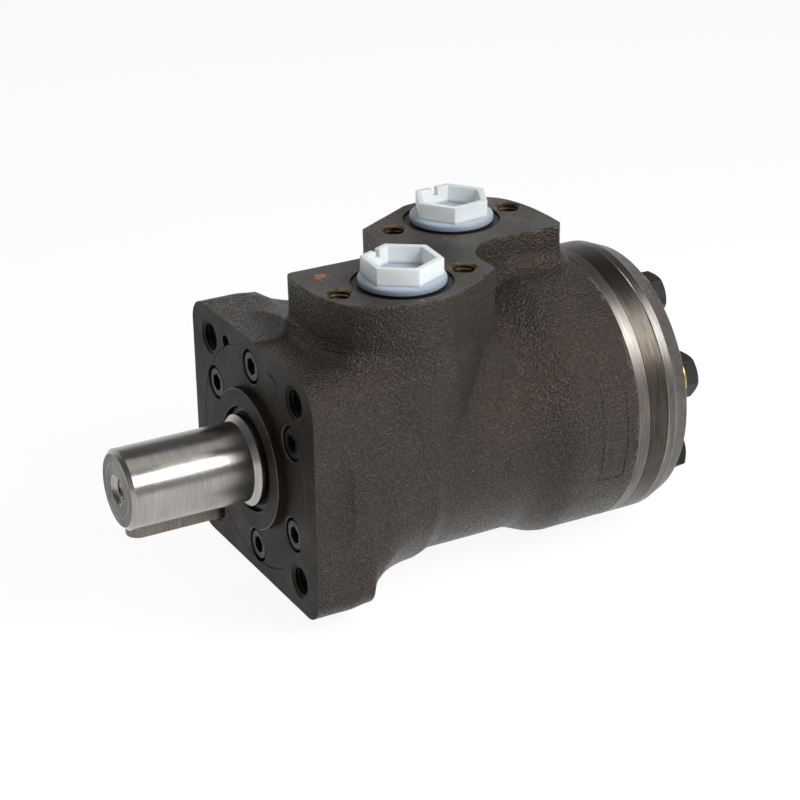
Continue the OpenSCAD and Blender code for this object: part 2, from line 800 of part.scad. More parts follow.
module rotor() {
    color(dark_steel_colour) translate([0, 0, eccentricity])
        slab(plate_end_y + rotor_side_gap, gear_end_y - rotor_side_gap) difference() {
            rotate(rotor_turn)
                polygon([for (i = [0 : rotor_lobes * rotor_points - 1])
                    rotor_point(i * 360 / (rotor_lobes * rotor_points))]);
            spline_outline(spline_hub_r, spline_slot_r, spline_slot_w);
        }
}

module cardan_stop_disc() {
    color(steel_colour) bar(gear_end_y + stop_disc_gap, gear_end_y + stop_disc_gap + stop_disc_t, stop_disc_r);
}

module end_cover() {
    color(dark_steel_colour) difference() {
        union() {
            bar(gear_end_y, cover_end_y - cover_taper_len, drum_r);
            bar(cover_end_y - cover_taper_len, cover_end_y, drum_r, drum_r - cover_taper);
        }
        bar(gear_end_y - over, gear_end_y + stop_pocket_depth, stop_disc_r + fit_gap);
        around(stator_lobes, gear_turn, end_bolt_circle / 2)
            bar(gear_end_y - over, cover_end_y + over, end_bolt_hole_r);
    }
}

module end_bolts() {
    head_y = cover_end_y + washer_t;
    color(black_colour) around(stator_lobes, gear_turn, end_bolt_circle / 2) {
        translate([0, head_y, 0]) rotate([-90, 0, 0])
            cylinder(h = end_bolt_head_h, r = end_bolt_head_af / sqrt(3), $fn = 6);
        bar(end_bolt_end_y, head_y + over, end_bolt_r);
    }
}

module end_bolt_washers() {
    color(brass_colour) around(stator_lobes, gear_turn, end_bolt_circle / 2)
        ring(cover_end_y, cover_end_y + washer_t, washer_d / 2, washer_hole_r);
}

// Sealing ring whose groove is cut into the piece on one side of the joint at y
module stack_ring(y, side) {
    color(rubber_colour)
        intersection() {
            round_ring(y + side * stack_groove_depth / 2, stack_ring_r, stack_ring_section);
            ring(y - stack_groove_depth * (1 - side) / 2, y + stack_groove_depth * (1 + side) / 2,
                 drum_r, plate_hole_r);
        }
}

module housing_ring() {
    stack_ring(rear_face_y, -1);
}

module stator_front_ring() {
    stack_ring(plate_end_y, 1);
}

module stator_rear_ring() {
    stack_ring(gear_end_y, -1);
}

module check_ball(a) {
    color(steel_colour) at_angle(a, check_circle_r) translate([0, check_ball_y, 0]) sphere(r = check_ball_r);
}

module check_ball_a() {
    check_ball(check_angle_a);
}

module check_ball_b() {
    check_ball(check_angle_b);
}

module check_stop_screws() {
    color(dark_steel_colour) for (a = [check_angle_a, check_angle_b]) at_angle(a, check_circle_r) difference() {
        union() {
            bar(check_stop_y, check_screw_y + over, check_stop_pin_r);
            bar(check_screw_y, rear_face_y - check_screw_gap, check_bore_r - fit_gap);
        }
        translate([0, rear_face_y - check_screw_gap - check_hex_depth, 0]) rotate([-90, 0, 0])
            cylinder(h = check_hex_depth + over, r = check_hex_r, $fn = 6);
    }
}

module drain_plug() {
    head_x = drain_face_x + drain_washer_t;
    color(dark_steel_colour) translate([0, drain_y, 0]) difference() {
        union() {
            side_bar(head_x, head_x + drain_head_h, drain_head_r);
            side_bar(drain_face_x - drain_depth + drain_plug_gap, head_x + over, drain_d / 2 - fit_gap);
        }
        translate([-head_x, 0, 0]) rotate([0, -90, 0])
            cylinder(h = drain_head_h + over, r = drain_hex_af / sqrt(3), $fn = 6);
    }
}

module drain_washer() {
    color(brass_colour) translate([0, drain_y, 0]) difference() {
        side_bar(drain_face_x, drain_face_x + drain_washer_t, drain_washer_r);
        side_bar(drain_face_x - over, drain_face_x + drain_washer_t + over, drain_d / 2 + fit_gap);
    }
}

// Plastic plug of a port: hollow head, slotted on one side, a rim and a hollow stem
module port_plug(turn) {
    rim_z = port_face_z - port_seat_depth;
    head_z = rim_z + plug_rim_t;
    stem_r = port_thread_d / 2 - plug_stem_gap;
    hollow_r = (plug_head_af / 2 - plug_wall) * 2 / sqrt(3);
    color(plug_colour) difference() {
        union() {
            translate([0, 0, rim_z]) cylinder(h = plug_rim_t, d = plug_rim_d);
            translate([0, 0, rim_z - plug_thread_len]) cylinder(h = plug_thread_len + over, r = stem_r);
            translate([0, 0, head_z - over]) rotate(turn)
                cylinder(h = plug_head_h + over, r = plug_head_af / sqrt(3), $fn = 6);
        }
        translate([0, 0, rim_z + plug_wall]) rotate(turn)
            cylinder(h = plug_rim_t + plug_head_h, r = hollow_r, $fn = 6);
        translate([0, 0, rim_z - plug_thread_len - over])
            cylinder(h = plug_thread_len, r = stem_r - plug_wall);
        rotate(turn + plug_slot_turn)
            translate([0, -plug_slot_w / 2, head_z + plug_head_h - plug_slot_depth])
                cube([plug_rim_d, plug_slot_w, plug_slot_depth + over]);
    }
}

module port_plug_a() {
    translate([port_side_x, port_front_y, 0]) port_plug(plug_turn_a);
}

module port_plug_b() {
    translate([-port_side_x, port_rear_y, 0]) port_plug(plug_turn_b);
}

housing();
front_cover();
front_cover_screws();
front_cover_ring();
shaft_seal();
dust_seal();
output_shaft();
shaft_key();
thrust_washer_front();
thrust_needle_cage();
thrust_needles();
thrust_washer_rear();
cardan_shaft();
channel_plate();
stator();
rotor();
cardan_stop_disc();
end_cover();
end_bolts();
end_bolt_washers();
housing_ring();
stator_front_ring();
stator_rear_ring();
check_ball_a();
check_ball_b();
check_stop_screws();
drain_plug();
drain_washer();
port_plug_a();
port_plug_b();
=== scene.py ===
"""Looks of an orbital hydraulic motor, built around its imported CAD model.

Lengths in this script are millimetres, and every mesh is scaled to metres when it is made.
The motor lies along Y: the shaft points to -Y and the ports face +Z. An angle "a" about the
motor's axis runs from +X towards +Z.
"""

import math

import bpy
import numpy as np
from mathutils import Matrix, Vector


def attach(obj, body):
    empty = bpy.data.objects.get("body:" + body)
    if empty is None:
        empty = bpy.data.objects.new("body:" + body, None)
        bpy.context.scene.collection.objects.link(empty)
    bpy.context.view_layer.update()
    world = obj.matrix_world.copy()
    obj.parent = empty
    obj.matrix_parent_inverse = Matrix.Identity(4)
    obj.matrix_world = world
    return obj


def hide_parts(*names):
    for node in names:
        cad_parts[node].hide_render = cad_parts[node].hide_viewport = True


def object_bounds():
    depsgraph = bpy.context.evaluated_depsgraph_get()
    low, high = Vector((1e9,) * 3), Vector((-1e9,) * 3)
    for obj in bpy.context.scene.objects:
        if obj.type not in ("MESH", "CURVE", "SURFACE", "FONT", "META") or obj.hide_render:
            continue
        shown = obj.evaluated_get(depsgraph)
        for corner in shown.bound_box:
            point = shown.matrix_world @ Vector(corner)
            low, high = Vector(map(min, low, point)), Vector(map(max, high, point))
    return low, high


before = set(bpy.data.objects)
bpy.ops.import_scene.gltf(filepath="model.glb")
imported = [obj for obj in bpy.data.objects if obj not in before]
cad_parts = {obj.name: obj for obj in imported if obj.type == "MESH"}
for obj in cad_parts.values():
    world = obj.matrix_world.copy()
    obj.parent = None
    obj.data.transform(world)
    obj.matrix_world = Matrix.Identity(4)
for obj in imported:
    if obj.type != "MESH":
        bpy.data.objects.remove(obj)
cad_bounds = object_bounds()

MM = 0.001

# Camera, solved from the photograph
CAMERA_AZIMUTH = 61.324
CAMERA_ELEVATION = 24.239
CAMERA_ROLL = -0.762
CAMERA_DISTANCE = 701.77
CAMERA_TARGET = (-7.469, 55.042, 3.623)
CAMERA_FOCAL_PIXELS = 2212.14
IMAGE_PIXELS = 800
SENSOR_MM = 36.0

# Housing. Its faces and bores are as in the part's source; the flare, the web's end and the
# shoulder's edge have values of their own, set from the photograph
FLANGE_X, FLANGE_Z, FLANGE_T = 41.0, 38.5, 20.0
BARREL_R, DRUM_R, REAR_Y = 40.35, 44.45, 111.1
FLARE_Y = (76.0, 90.5)
WEB_END_Y, WEB_DROP, WEB_RUN = 40.0, 13.2, 24.0
PORT_Z, PORT_X, PORT_Y, PORT_PITCH = 56.0, 20.0, 41.3, 40.0
MIDDLE_Y = PORT_Y + PORT_PITCH / 2
LOBE_R, LOBE_X = 33.0, 6.0
LOBE_FRONT_Y, LOBE_REAR_Y, LOBE_INNER_X = 13.3, 70.5, -3.0
LOBE_FLAT_TURN, LOBE_FLAT_REACH = math.radians(30.4), 31.4
LOBE_TIP, LOBE_TIP_R = (23.2, 67.1), 3.5
CORNER_R, PORT_CORNER_R = 7.0, 11.0
SHOULDER_X, SHOULDER_EDGE_R = 40.0, 9.0
BORE_R, GALLERY_R, GALLERY_W = 19.0, 21.8, 9.0
WASHER_BORE_R, WASHER_BORE_END = 21.1, 15.5
COVER_R, COVER_T = 35.0, 14.0
COVER_SCREWS, COVER_SCREW_TURN, SCREW_CIRCLE_R, SCREW_HEAD_END = 6, 30, 30.0, 6.4
FLANGE_BOLTS, FLANGE_BOLT_TURN, FLANGE_BOLT_CIRCLE_R = 4, 45, 41.25
PORT_SCREW_REACH = 21
VALVES, VALVE_CIRCLE_R = ((54.8, PORT_Y), (132.1, PORT_Y + PORT_PITCH)), 36.5
DRAIN_X, DRAIN_Y = -38.75, 56

# Stack of plates behind the housing
GEAR_TURN, BOLT_CIRCLE_R, LOBES = 67.65, 32.4, 7
PLATE_Y, GEAR_Y, END_Y = 115.4, 122.1, 130.8
PASSAGE_R, PASSAGE_CIRCLE_R, PASSAGE_TURN = 2.9, 26.6, GEAR_TURN - 180 / LOBES
BOLT_HOLE_R = 4.3
RING_GROOVE = (41.1, 43.3)
ROLLER_CIRCLE_R, ROLLER_R, ROOT_R = 30.0, 6.0, 29.6
WASHER_T = 2.0

# Shaft and key
SHAFT_R, SPOOL_R = 12.5, 18.97
KEY_Y = (-42.8, -10.8)
SPLINE_TEETH, SPLINE_HUB_R, SPLINE_TIP_R, SPLINE_TOOTH_W = 12, 9.6, 11.5, 3.0

# Port plugs
PLUG_TOP, PLUG_SEAT = 8.2, 0.6

# Meshing of the casting, and fillets between its parts
GRID_STEP = 0.8
GRID_LOW, GRID_HIGH = (-47.6, -3.7, -47.6), (48.0, 116.0, 61.0)
WEB_FILLET_R, BARREL_FILLET_R, SHOULDER_FILLET_R, LOBE_FILLET_R = 2.0, 6.0, 1.5, 4.5
LOBE_SADDLE_R = 14.0

# Material slots of the housing
MACHINED, THREAD, PORT_TOP, SEAT = 1, 2, 3, 4


# Solids: a solid is (points, faces), with the points in millimetres

def lathe(profile, count=96, ring=False):
    """Solid turned about Y. The profile runs from the -Y end outwards as (radius, y)."""
    points, rows = [], []
    for radius, y in profile:
        if radius <= 0:
            rows.append([len(points)])
            points.append((0.0, y, 0.0))
            continue
        rows.append(list(range(len(points), len(points) + count)))
        for i in range(count):
            a = 2 * math.pi * i / count
            points.append((radius * math.cos(a), y, radius * math.sin(a)))
    faces = []
    pairs = list(zip(rows, rows[1:])) + ([(rows[-1], rows[0])] if ring else [])
    for low, high in pairs:
        for i in range(count):
            j = (i + 1) % count
            face = [low[i % len(low)], high[i % len(high)], high[j % len(high)], low[j % len(low)]]
            faces.append(tuple(dict.fromkeys(face)))
    return np.array(points, float), faces


def rod(radius, y0, y1, count=64):
    return lathe([(0, y0), (radius, y0), (radius, y1), (0, y1)], count)


def slab(outline, y0, y1):
    """Solid of an outline drawn anticlockwise in X and Z, from y0 to y1."""
    n = len(outline)
    points = [(x, y1, z) for x, z in outline] + [(x, y0, z) for x, z in outline]
    faces = [tuple(range(n))[::-1], tuple(range(n, 2 * n))]
    faces += [(i, (i + 1) % n, n + (i + 1) % n, n + i) for i in range(n)]
    return np.array(points, float), faces


def flat_prism(outline, z0, z1):
    """Upright prism of an outline drawn anticlockwise in X and Y."""
    n = len(outline)
    points = [(x, y, z0) for x, y in outline] + [(x, y, z1) for x, y in outline]
    faces = [tuple(range(n))[::-1], tuple(range(n, 2 * n))]
    faces += [(i, (i + 1) % n, n + (i + 1) % n, n + i) for i in range(n)]
    return np.array(points, float), faces


def box(low, high):
    outline = [(low[0], low[2]), (high[0], low[2]), (high[0], high[2]), (low[0], high[2])]
    return slab(outline, low[1], high[1])


def moved(solid, x=0.0, y=0.0, z=0.0):
    return solid[0] + np.array([x, y, z]), solid[1]


def turned(solid, degrees, axis):
    matrix = np.array(Matrix.Rotation(math.radians(degrees), 3, axis))
    return solid[0] @ matrix.T, solid[1]


def at_angle(solid, a, radius):
    """Moves a solid out along X and turns it to angle a, from +X towards +Z."""
    return turned(moved(solid, x=radius), -a, "Y")


def around(solid, count, first, radius):
    return joined([at_angle(solid, first + i * 360 / count, radius) for i in range(count)])


def upright(solid):
    """Turns a solid that was made along Y so that it stands along Z."""
    return turned(solid, 90, "X")


def joined(solids):
    points, faces, start = [], [], 0
    for p, f in solids:
        points.append(p)
        faces += [tuple(i + start for i in face) for face in f]
        start += len(p)
    return np.concatenate(points), faces


def hexagon(across_flats):
    r = across_flats / math.sqrt(3)
    angles = [math.radians(60 * i) for i in range(6)]
    return [(r * math.cos(a), r * math.sin(a)) for a in angles]


def thread_profile(minor, major, y0, y1, pitch):
    """Points (radius, y) of thread turns between y0 and y1."""
    turns = int((y1 - y0) / pitch)
    points = []
    for i in range(turns):
        y = y0 + i * pitch
        points += [(minor, y), (minor, y + 0.15 * pitch)]
        points += [(major, y + 0.5 * pitch), (major, y + 0.62 * pitch)]
    return points


def tapped_hole(mouth, bottom, minor, major, pitch, chamfer, drill):
    """Cutter for a tapped hole from y = mouth in to y = bottom, opening towards -Y."""
    profile = [(0, mouth - 1), (major + chamfer, mouth - 1), (major + chamfer, mouth)]
    profile += [(major, mouth + chamfer)]
    profile += thread_profile(minor, major, mouth + chamfer + 0.1, bottom, pitch)
    profile += [(minor, bottom), (minor, bottom + drill), (0, bottom + drill + 0.5 * minor)]
    return lathe(profile, 48)


def add_mesh(name, solid, slot=0, slots=0):
    """Piece of a solid, with all faces in one material slot and a number of slots left empty."""
    mesh = bpy.data.meshes.new(name)
    mesh.from_pydata((solid[0] * MM).tolist(), [], solid[1])
    for _ in range(slots):
        mesh.materials.append(None)
    mesh.polygons.foreach_set("material_index", [slot] * len(mesh.polygons))
    mesh.update()
    piece = bpy.data.objects.new(name, mesh)
    bpy.context.scene.collection.objects.link(piece)
    return piece


def apply_modifiers(piece):
    graph = bpy.context.evaluated_depsgraph_get()
    result = bpy.data.meshes.new_from_object(piece.evaluated_get(graph))
    if len(result.polygons) == 0:
        raise RuntimeError("a modifier left nothing of " + piece.name)
    piece.modifiers.clear()
    old = piece.data
    piece.data = result
    bpy.data.meshes.remove(old)


def bevel(piece, width, angle=None):
    """Rounds the sharp edges of a piece; the angle is Blender's own unless it is given."""
    modifier = piece.modifiers.new("edges", "BEVEL")
    modifier.width = width * MM
    modifier.segments = 2
    modifier.limit_method = "ANGLE"
    if angle:
        modifier.angle_limit = math.radians(angle)
    apply_modifiers(piece)


def combine(piece, solid, operation="DIFFERENCE", slot=MACHINED):
    """Boolean of a piece with a solid, applied at once."""
    tool = add_mesh("tool", solid, slot)
    while len(tool.data.materials) < len(piece.data.materials):
        tool.data.materials.append(None)
    modifier = piece.modifiers.new("cut", "BOOLEAN")
    modifier.operation = operation
    modifier.solver = "MANIFOLD"
    modifier.object = tool
    apply_modifiers(piece)
    bpy.data.objects.remove(tool)


def smooth(piece, degrees=32.0):
    piece.data.shade_smooth()
    piece.data.set_sharp_from_angle(angle=math.radians(degrees))


def finish_piece(piece, body, materials, replaced, sharp=32.0):
    """Gives a piece its materials, body, replaced CAD nodes and material slot."""
    mesh = piece.data
    while len(mesh.materials) < len(materials):
        mesh.materials.append(None)
    for index, material in enumerate(materials):
        mesh.materials[index] = material
    smooth(piece, sharp)
    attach(piece, body)
    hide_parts(*replaced)


# Casting, as a distance field that is meshed on a grid

def union_round(a, b, r):
    """Union with a hollow fillet of radius r."""
    return np.maximum(r, np.minimum(a, b)) - np.hypot(np.maximum(r - a, 0), np.maximum(r - b, 0))


def both_round(a, b, r):
    """Intersection with its edge rounded to radius r."""
    return np.minimum(-r, np.maximum(a, b)) + np.hypot(np.maximum(r + a, 0), np.maximum(r + b, 0))


def lobe_outline(x, y):
    """Distance to the front port lobe's outline, seen from above."""
    wall = np.hypot(x - LOBE_X, y - PORT_Y) - LOBE_R
    tip = np.hypot(x - LOBE_TIP[0], y - LOBE_TIP[1]) - LOBE_TIP_R
    across = (x - LOBE_X) * math.cos(LOBE_FLAT_TURN) + (y - PORT_Y) * math.sin(LOBE_FLAT_TURN)
    flat = across - LOBE_FLAT_REACH
    d = np.maximum(union_round(wall, tip, 5.0), flat)
    d = both_round(d, LOBE_FRONT_Y - y, 7.0)
    d = np.maximum(d, y - LOBE_REAR_Y)
    return both_round(d, LOBE_INNER_X - x, 3.0)


def undulation(p):
    """Low waves of a sand casting's skin."""
    x, y, z = p[0], p[1], p[2]
    waves = np.sin(0.55 * x + 0.9 * np.sin(0.31 * y)) * np.sin(0.48 * y + 1.1 * np.sin(0.37 * z))
    waves = waves + np.sin(0.62 * z + 1.3 * np.sin(0.29 * x)) * np.sin(0.35 * y + 0.5 * x)
    return 0.035 * (waves + 2)


def casting_distance(p):
    """Distance to the casting before it is machined; p holds x, y and z."""
    x, y, z = p[0], p[1], p[2]
    radius = np.hypot(x, z)

    t = np.clip((y - FLARE_Y[0]) / (FLARE_Y[1] - FLARE_Y[0]), 0, 1)
    barrel = radius - (BARREL_R + (DRUM_R - BARREL_R) * t * t * (3 - 2 * t))
    barrel = np.maximum(barrel, 15 - y)

    corner = np.where((x > 0) & (z > 0), PORT_CORNER_R, CORNER_R)
    qx = np.abs(x) - FLANGE_X + corner
    step_x = 3.0 - np.clip((y - 10) * 1.5, 0, 8)
    ledge = 0.6 * np.clip((x - step_x) / 2.0, 0, 1) * (z > 0)
    qz = np.abs(z) - FLANGE_Z + ledge + corner
    prism = np.minimum(np.maximum(qx, qz), 0) + np.hypot(np.maximum(qx, 0), np.maximum(qz, 0))
    prism = prism - corner
    flange = both_round(prism, y - FLANGE_T, 1.2)

    reach = np.clip((WEB_END_Y - y) / WEB_RUN, 0, 1.3)
    cone = (radius - (BARREL_R - 0.15 + WEB_DROP * reach ** 1.5)) * 0.78
    web = both_round(both_round(cone, prism, 3.0), y - WEB_END_Y - 2, 2.0)

    side = SHOULDER_X - np.maximum(y - PORT_Y, 0) ** 2 / 36.0
    shoulder = both_round(x - side, z - FLANGE_Z, SHOULDER_EDGE_R)
    shoulder = np.maximum(np.maximum(shoulder, np.maximum(-x, -z)), np.maximum(17 - y, y - 60))

    front = lobe_outline(x, y)
    rear = lobe_outline(-x, 2 * MIDDLE_Y - y)
    lobes = np.maximum(union_round(front, rear, LOBE_SADDLE_R), -z)

    body = union_round(flange, web, WEB_FILLET_R)
    body = union_round(body, barrel, BARREL_FILLET_R)
    body = union_round(body, shoulder, SHOULDER_FILLET_R)
    body = union_round(body, lobes, LOBE_FILLET_R)
    return body + undulation(p)


def surface_net(values, low, step):
    """Closed mesh of the zero level of a grid of distances, negative inside."""
    inside = values < 0
    shape = np.array(values.shape) - 1
    total = np.zeros((3,) + tuple(shape + 1))
    hits = np.zeros(tuple(shape + 1))
    crossings = []
    for axis in range(3):
        first = [slice(None)] * 3
        second = [slice(None)] * 3
        first[axis] = slice(0, -1)
        second[axis] = slice(1, None)
        a, b = values[tuple(first)], values[tuple(second)]
        edges = np.argwhere(inside[tuple(first)] != inside[tuple(second)])
        va, vb = a[tuple(edges.T)], b[tuple(edges.T)]
        place = edges.astype(float)
        place[:, axis] += va / (va - vb)
        crossings.append((edges, va < 0))
        u, v = (axis + 1) % 3, (axis + 2) % 3
        for du in (0, 1):
            for dv in (0, 1):
                cell = edges.copy()
                cell[:, u] -= du
                cell[:, v] -= dv
                index = tuple(cell.T)
                for k in range(3):
                    np.add.at(total[k], index, place[:, k])
                np.add.at(hits, index, 1)
    used = hits > 0
    number = np.full(hits.shape, -1)
    number[used] = np.arange(int(used.sum()))
    points = np.stack([total[k][used] / hits[used] for k in range(3)], axis=1) * step + low
    faces = []
    for axis, (edges, outward) in enumerate(crossings):
        u, v = (axis + 1) % 3, (axis + 2) % 3
        corners = []
        for du, dv in ((1, 1), (0, 1), (0, 0), (1, 0)):
            cell = edges.copy()
            cell[:, u] -= du
            cell[:, v] -= dv
            corners.append(number[tuple(cell.T)])
        quads = np.stack(corners, axis=1)
        quads[~outward] = quads[~outward][:, ::-1]
        faces.append(quads)
    return points, np.concatenate(faces)


def onto_surface(points, rounds=3):
    """Moves points onto the casting's exact surface."""
    e = 0.05
    steps = [e * np.eye(3)[:, k:k + 1] for k in range(3)]
    for _ in range(rounds):
        p = points.T
        d = casting_distance(p)
        slope = np.stack([casting_distance(p + step) - d for step in steps], axis=1) / e
        size = np.maximum((slope ** 2).sum(axis=1), 0.25)
        points = points - slope * np.clip(d / size, -0.5, 0.5)[:, None]
    return points


def casting():
    """Casting with stock left at both ends and on the port face, for machine_housing to cut off."""
    low, high = np.array(GRID_LOW), np.array(GRID_HIGH)
    counts = np.ceil((high - low) / GRID_STEP).astype(int) + 1
    axes = [low[k] + GRID_STEP * np.arange(counts[k]) for k in range(3)]
    grid = np.meshgrid(*axes, indexing="ij")
    values = casting_distance(grid)
    ends = np.maximum(-2.5 - grid[1], grid[1] - 113.5)
    values = np.maximum(values, np.maximum(ends, grid[2] - 58.5))
    points, faces = surface_net(values, low, GRID_STEP)
    keep = (points[:, 1] > -1.6) & (points[:, 1] < 112.6) & (points[:, 2] < 57.6)
    points[keep] = onto_surface(points[keep])
    return points, [tuple(face) for face in faces.tolist()]


# Materials

def node_material(name, base, roughness, metallic=0.0):
    material = bpy.data.materials.new(name)
    material.use_nodes = True
    tree = material.node_tree
    shader = tree.nodes["Principled BSDF"]
    shader.inputs["Base Color"].default_value = (*base, 1)
    shader.inputs["Roughness"].default_value = roughness
    shader.inputs["Metallic"].default_value = metallic
    place = tree.nodes.new("ShaderNodeTexCoord")
    return material, tree, shader, place.outputs["Object"]


def noise(tree, place, scale, detail, roughness=0.55):
    node = tree.nodes.new("ShaderNodeTexNoise")
    node.inputs["Scale"].default_value = scale
    node.inputs["Detail"].default_value = detail
    node.inputs["Roughness"].default_value = roughness
    tree.links.new(place, node.inputs["Vector"])
    return node.outputs["Fac"]


def ramp(tree, factor, stops):
    node = tree.nodes.new("ShaderNodeValToRGB")
    elements = node.color_ramp.elements
    while len(elements) < len(stops):
        elements.new(0.5)
    for element, (position, colour) in zip(elements, stops):
        element.position = position
        element.color = (*colour, 1) if len(colour) == 3 else colour
    tree.links.new(factor, node.inputs["Fac"])
    return node.outputs["Color"]


def grey(value):
    return (value, value, value)


def bump(tree, shader, height, strength, distance, previous=None):
    node = tree.nodes.new("ShaderNodeBump")
    node.inputs["Strength"].default_value = strength
    node.inputs["Distance"].default_value = distance
    tree.links.new(height, node.inputs["Height"])
    if previous:
        tree.links.new(previous, node.inputs["Normal"])
    tree.links.new(node.outputs["Normal"], shader.inputs["Normal"])
    return node.outputs["Normal"]


def mix_colour(tree, factor, a, b, mode="MIX"):
    node = tree.nodes.new("ShaderNodeMix")
    node.data_type = "RGBA"
    node.blend_type = mode
    for value, socket in ((factor, node.inputs[0]), (a, node.inputs[6]), (b, node.inputs[7])):
        if isinstance(value, (int, float)):
            socket.default_value = value
        elif isinstance(value, tuple):
            socket.default_value = (*value, 1)
        else:
            tree.links.new(value, socket)
    return node.outputs[2]


def math_node(tree, operation, *values):
    node = tree.nodes.new("ShaderNodeMath")
    node.operation = operation
    for value, socket in zip(values, node.inputs):
        if isinstance(value, (int, float)):
            socket.default_value = value
        else:
            tree.links.new(value, socket)
    return node.outputs[0]


def spots(tree, place, centres):
    """Mask of small ragged spots at the given places, each (x, y, z, radius) in millimetres."""
    wobble = noise(tree, place, 900.0, 2.0)
    mask = None
    for x, y, z, radius in centres:
        away = tree.nodes.new("ShaderNodeVectorMath")
        away.operation = "DISTANCE"
        tree.links.new(place, away.inputs[0])
        away.inputs[1].default_value = (x * MM, y * MM, z * MM)
        rim = math_node(tree, "MULTIPLY_ADD", wobble, radius * MM, radius * MM * 0.45)
        one = math_node(tree, "LESS_THAN", away.outputs["Value"], rim)
        mask = one if mask is None else math_node(tree, "MAXIMUM", mask, one)
    return mask


RUST = (0.26, 0.10, 0.04)
CHIP = (0.16, 0.14, 0.11)
IRON_LOW, IRON_HIGH, IRON_SPECULAR = (0.010, 0.0075, 0.0055), (0.019, 0.0145, 0.0105), 0.5
WORN_EDGE = (0.13, 0.115, 0.10)
OIL_TINT = (1.0, 0.87, 0.76)


def cast_iron():
    """Dark oiled sand casting: coarse grain with many small glints, and worn edges."""
    material, tree, shader, place = node_material("cast_iron", (0.02, 0.015, 0.012), 0.5)
    shader.inputs["Specular IOR Level"].default_value = IRON_SPECULAR
    shader.inputs["Specular Tint"].default_value = (*OIL_TINT, 1)
    patches = noise(tree, place, 45.0, 4.0)
    grain = noise(tree, place, 1350.0, 2.0, 0.6)
    lumps = noise(tree, place, 430.0, 2.0, 0.5)
    tone = ramp(tree, patches, [(0.3, IRON_LOW), (0.7, IRON_HIGH)])
    fleck = ramp(tree, grain, [(0.38, grey(0.3)), (0.62, grey(2.0))])
    colour = mix_colour(tree, 1.0, tone, fleck, "MULTIPLY")
    edge = tree.nodes.new("ShaderNodeNewGeometry").outputs["Pointiness"]
    worn = ramp(tree, edge, [(0.54, grey(0.0)), (0.62, grey(0.45))])
    broken = ramp(tree, lumps, [(0.4, grey(0.0)), (0.6, grey(1.0))])
    worn = mix_colour(tree, 1.0, worn, broken, "MULTIPLY")
    colour = mix_colour(tree, worn, colour, WORN_EDGE)
    colour = mix_colour(tree, spots(tree, place, CHIPS), colour, CHIP)
    tree.links.new(colour, shader.inputs["Base Color"])
    gloss = ramp(tree, grain, [(0.38, grey(0.46)), (0.62, grey(0.24))])
    tree.links.new(gloss, shader.inputs["Roughness"])
    first = bump(tree, shader, lumps, 0.6, 0.0002)
    bump(tree, shader, grain, 1.0, 0.0009, first)
    return material


def machined_iron(name, low, high, specular, roughness):
    """Cut face of the oiled casting, with fine pits, pale chips and rust specks."""
    material, tree, shader, place = node_material(name, high, roughness)
    shader.inputs["Specular IOR Level"].default_value = specular
    shader.inputs["Specular Tint"].default_value = (*OIL_TINT, 1)
    patches = noise(tree, place, 60.0, 5.0)
    grain = noise(tree, place, 1500.0, 2.0)
    pits = noise(tree, place, 420.0, 4.0, 0.7)
    colour = ramp(tree, patches, [(0.3, low), (0.7, high)])
    pit_stops = [(0.33, grey(0.35)), (0.45, grey(0.9)), (0.62, grey(1.1)), (0.72, grey(2.2))]
    pit_mask = ramp(tree, pits, pit_stops)
    colour = mix_colour(tree, 1.0, colour, pit_mask, "MULTIPLY")
    colour = mix_colour(tree, spots(tree, place, CHIPS), colour, CHIP)
    colour = mix_colour(tree, spots(tree, place, RUST_SPOTS), colour, RUST)
    tree.links.new(colour, shader.inputs["Base Color"])
    gloss = ramp(tree, patches, [(0.3, grey(roughness + 0.06)), (0.7, grey(roughness - 0.06))])
    tree.links.new(gloss, shader.inputs["Roughness"])
    bump(tree, shader, grain, 0.7, 0.0003)
    return material


def oiled_thread():
    material, tree, shader, place = node_material("oiled_thread", (0.10, 0.07, 0.035), 0.35, 0.8)
    patches = noise(tree, place, 300.0, 3.0)
    colour = ramp(tree, patches, [(0.35, (0.035, 0.027, 0.018)), (0.65, (0.19, 0.14, 0.075))])
    tree.links.new(colour, shader.inputs["Base Color"])
    bump(tree, shader, patches, 0.2, 0.0001)
    return material


def turned_steel(name, low, high, roughness, rust=None):
    """Bright steel with turning lines around Y."""
    material, tree, shader, place = node_material(name, high, roughness, 1.0)
    stretch = tree.nodes.new("ShaderNodeMapping")
    stretch.inputs["Scale"].default_value = (0.04, 1.0, 0.04)
    tree.links.new(place, stretch.inputs["Vector"])
    lines = noise(tree, stretch.outputs["Vector"], 2600.0, 2.0)
    patches = noise(tree, place, 70.0, 4.0)
    colour = ramp(tree, lines, [(0.3, low), (0.7, high)])
    shade = ramp(tree, patches, [(0.3, grey(0.8)), (0.7, grey(1.0))])
    colour = mix_colour(tree, 1.0, colour, shade, "MULTIPLY")
    if rust:
        stain = math_node(tree, "MULTIPLY", spots(tree, place, rust), 0.5)
        colour = mix_colour(tree, stain, colour, RUST)
    tree.links.new(colour, shader.inputs["Base Color"])
    gloss = ramp(tree, patches, [(0.3, grey(roughness + 0.06)), (0.7, grey(roughness - 0.05))])
    tree.links.new(gloss, shader.inputs["Roughness"])
    bump(tree, shader, lines, 0.12, 0.00005)
    return material


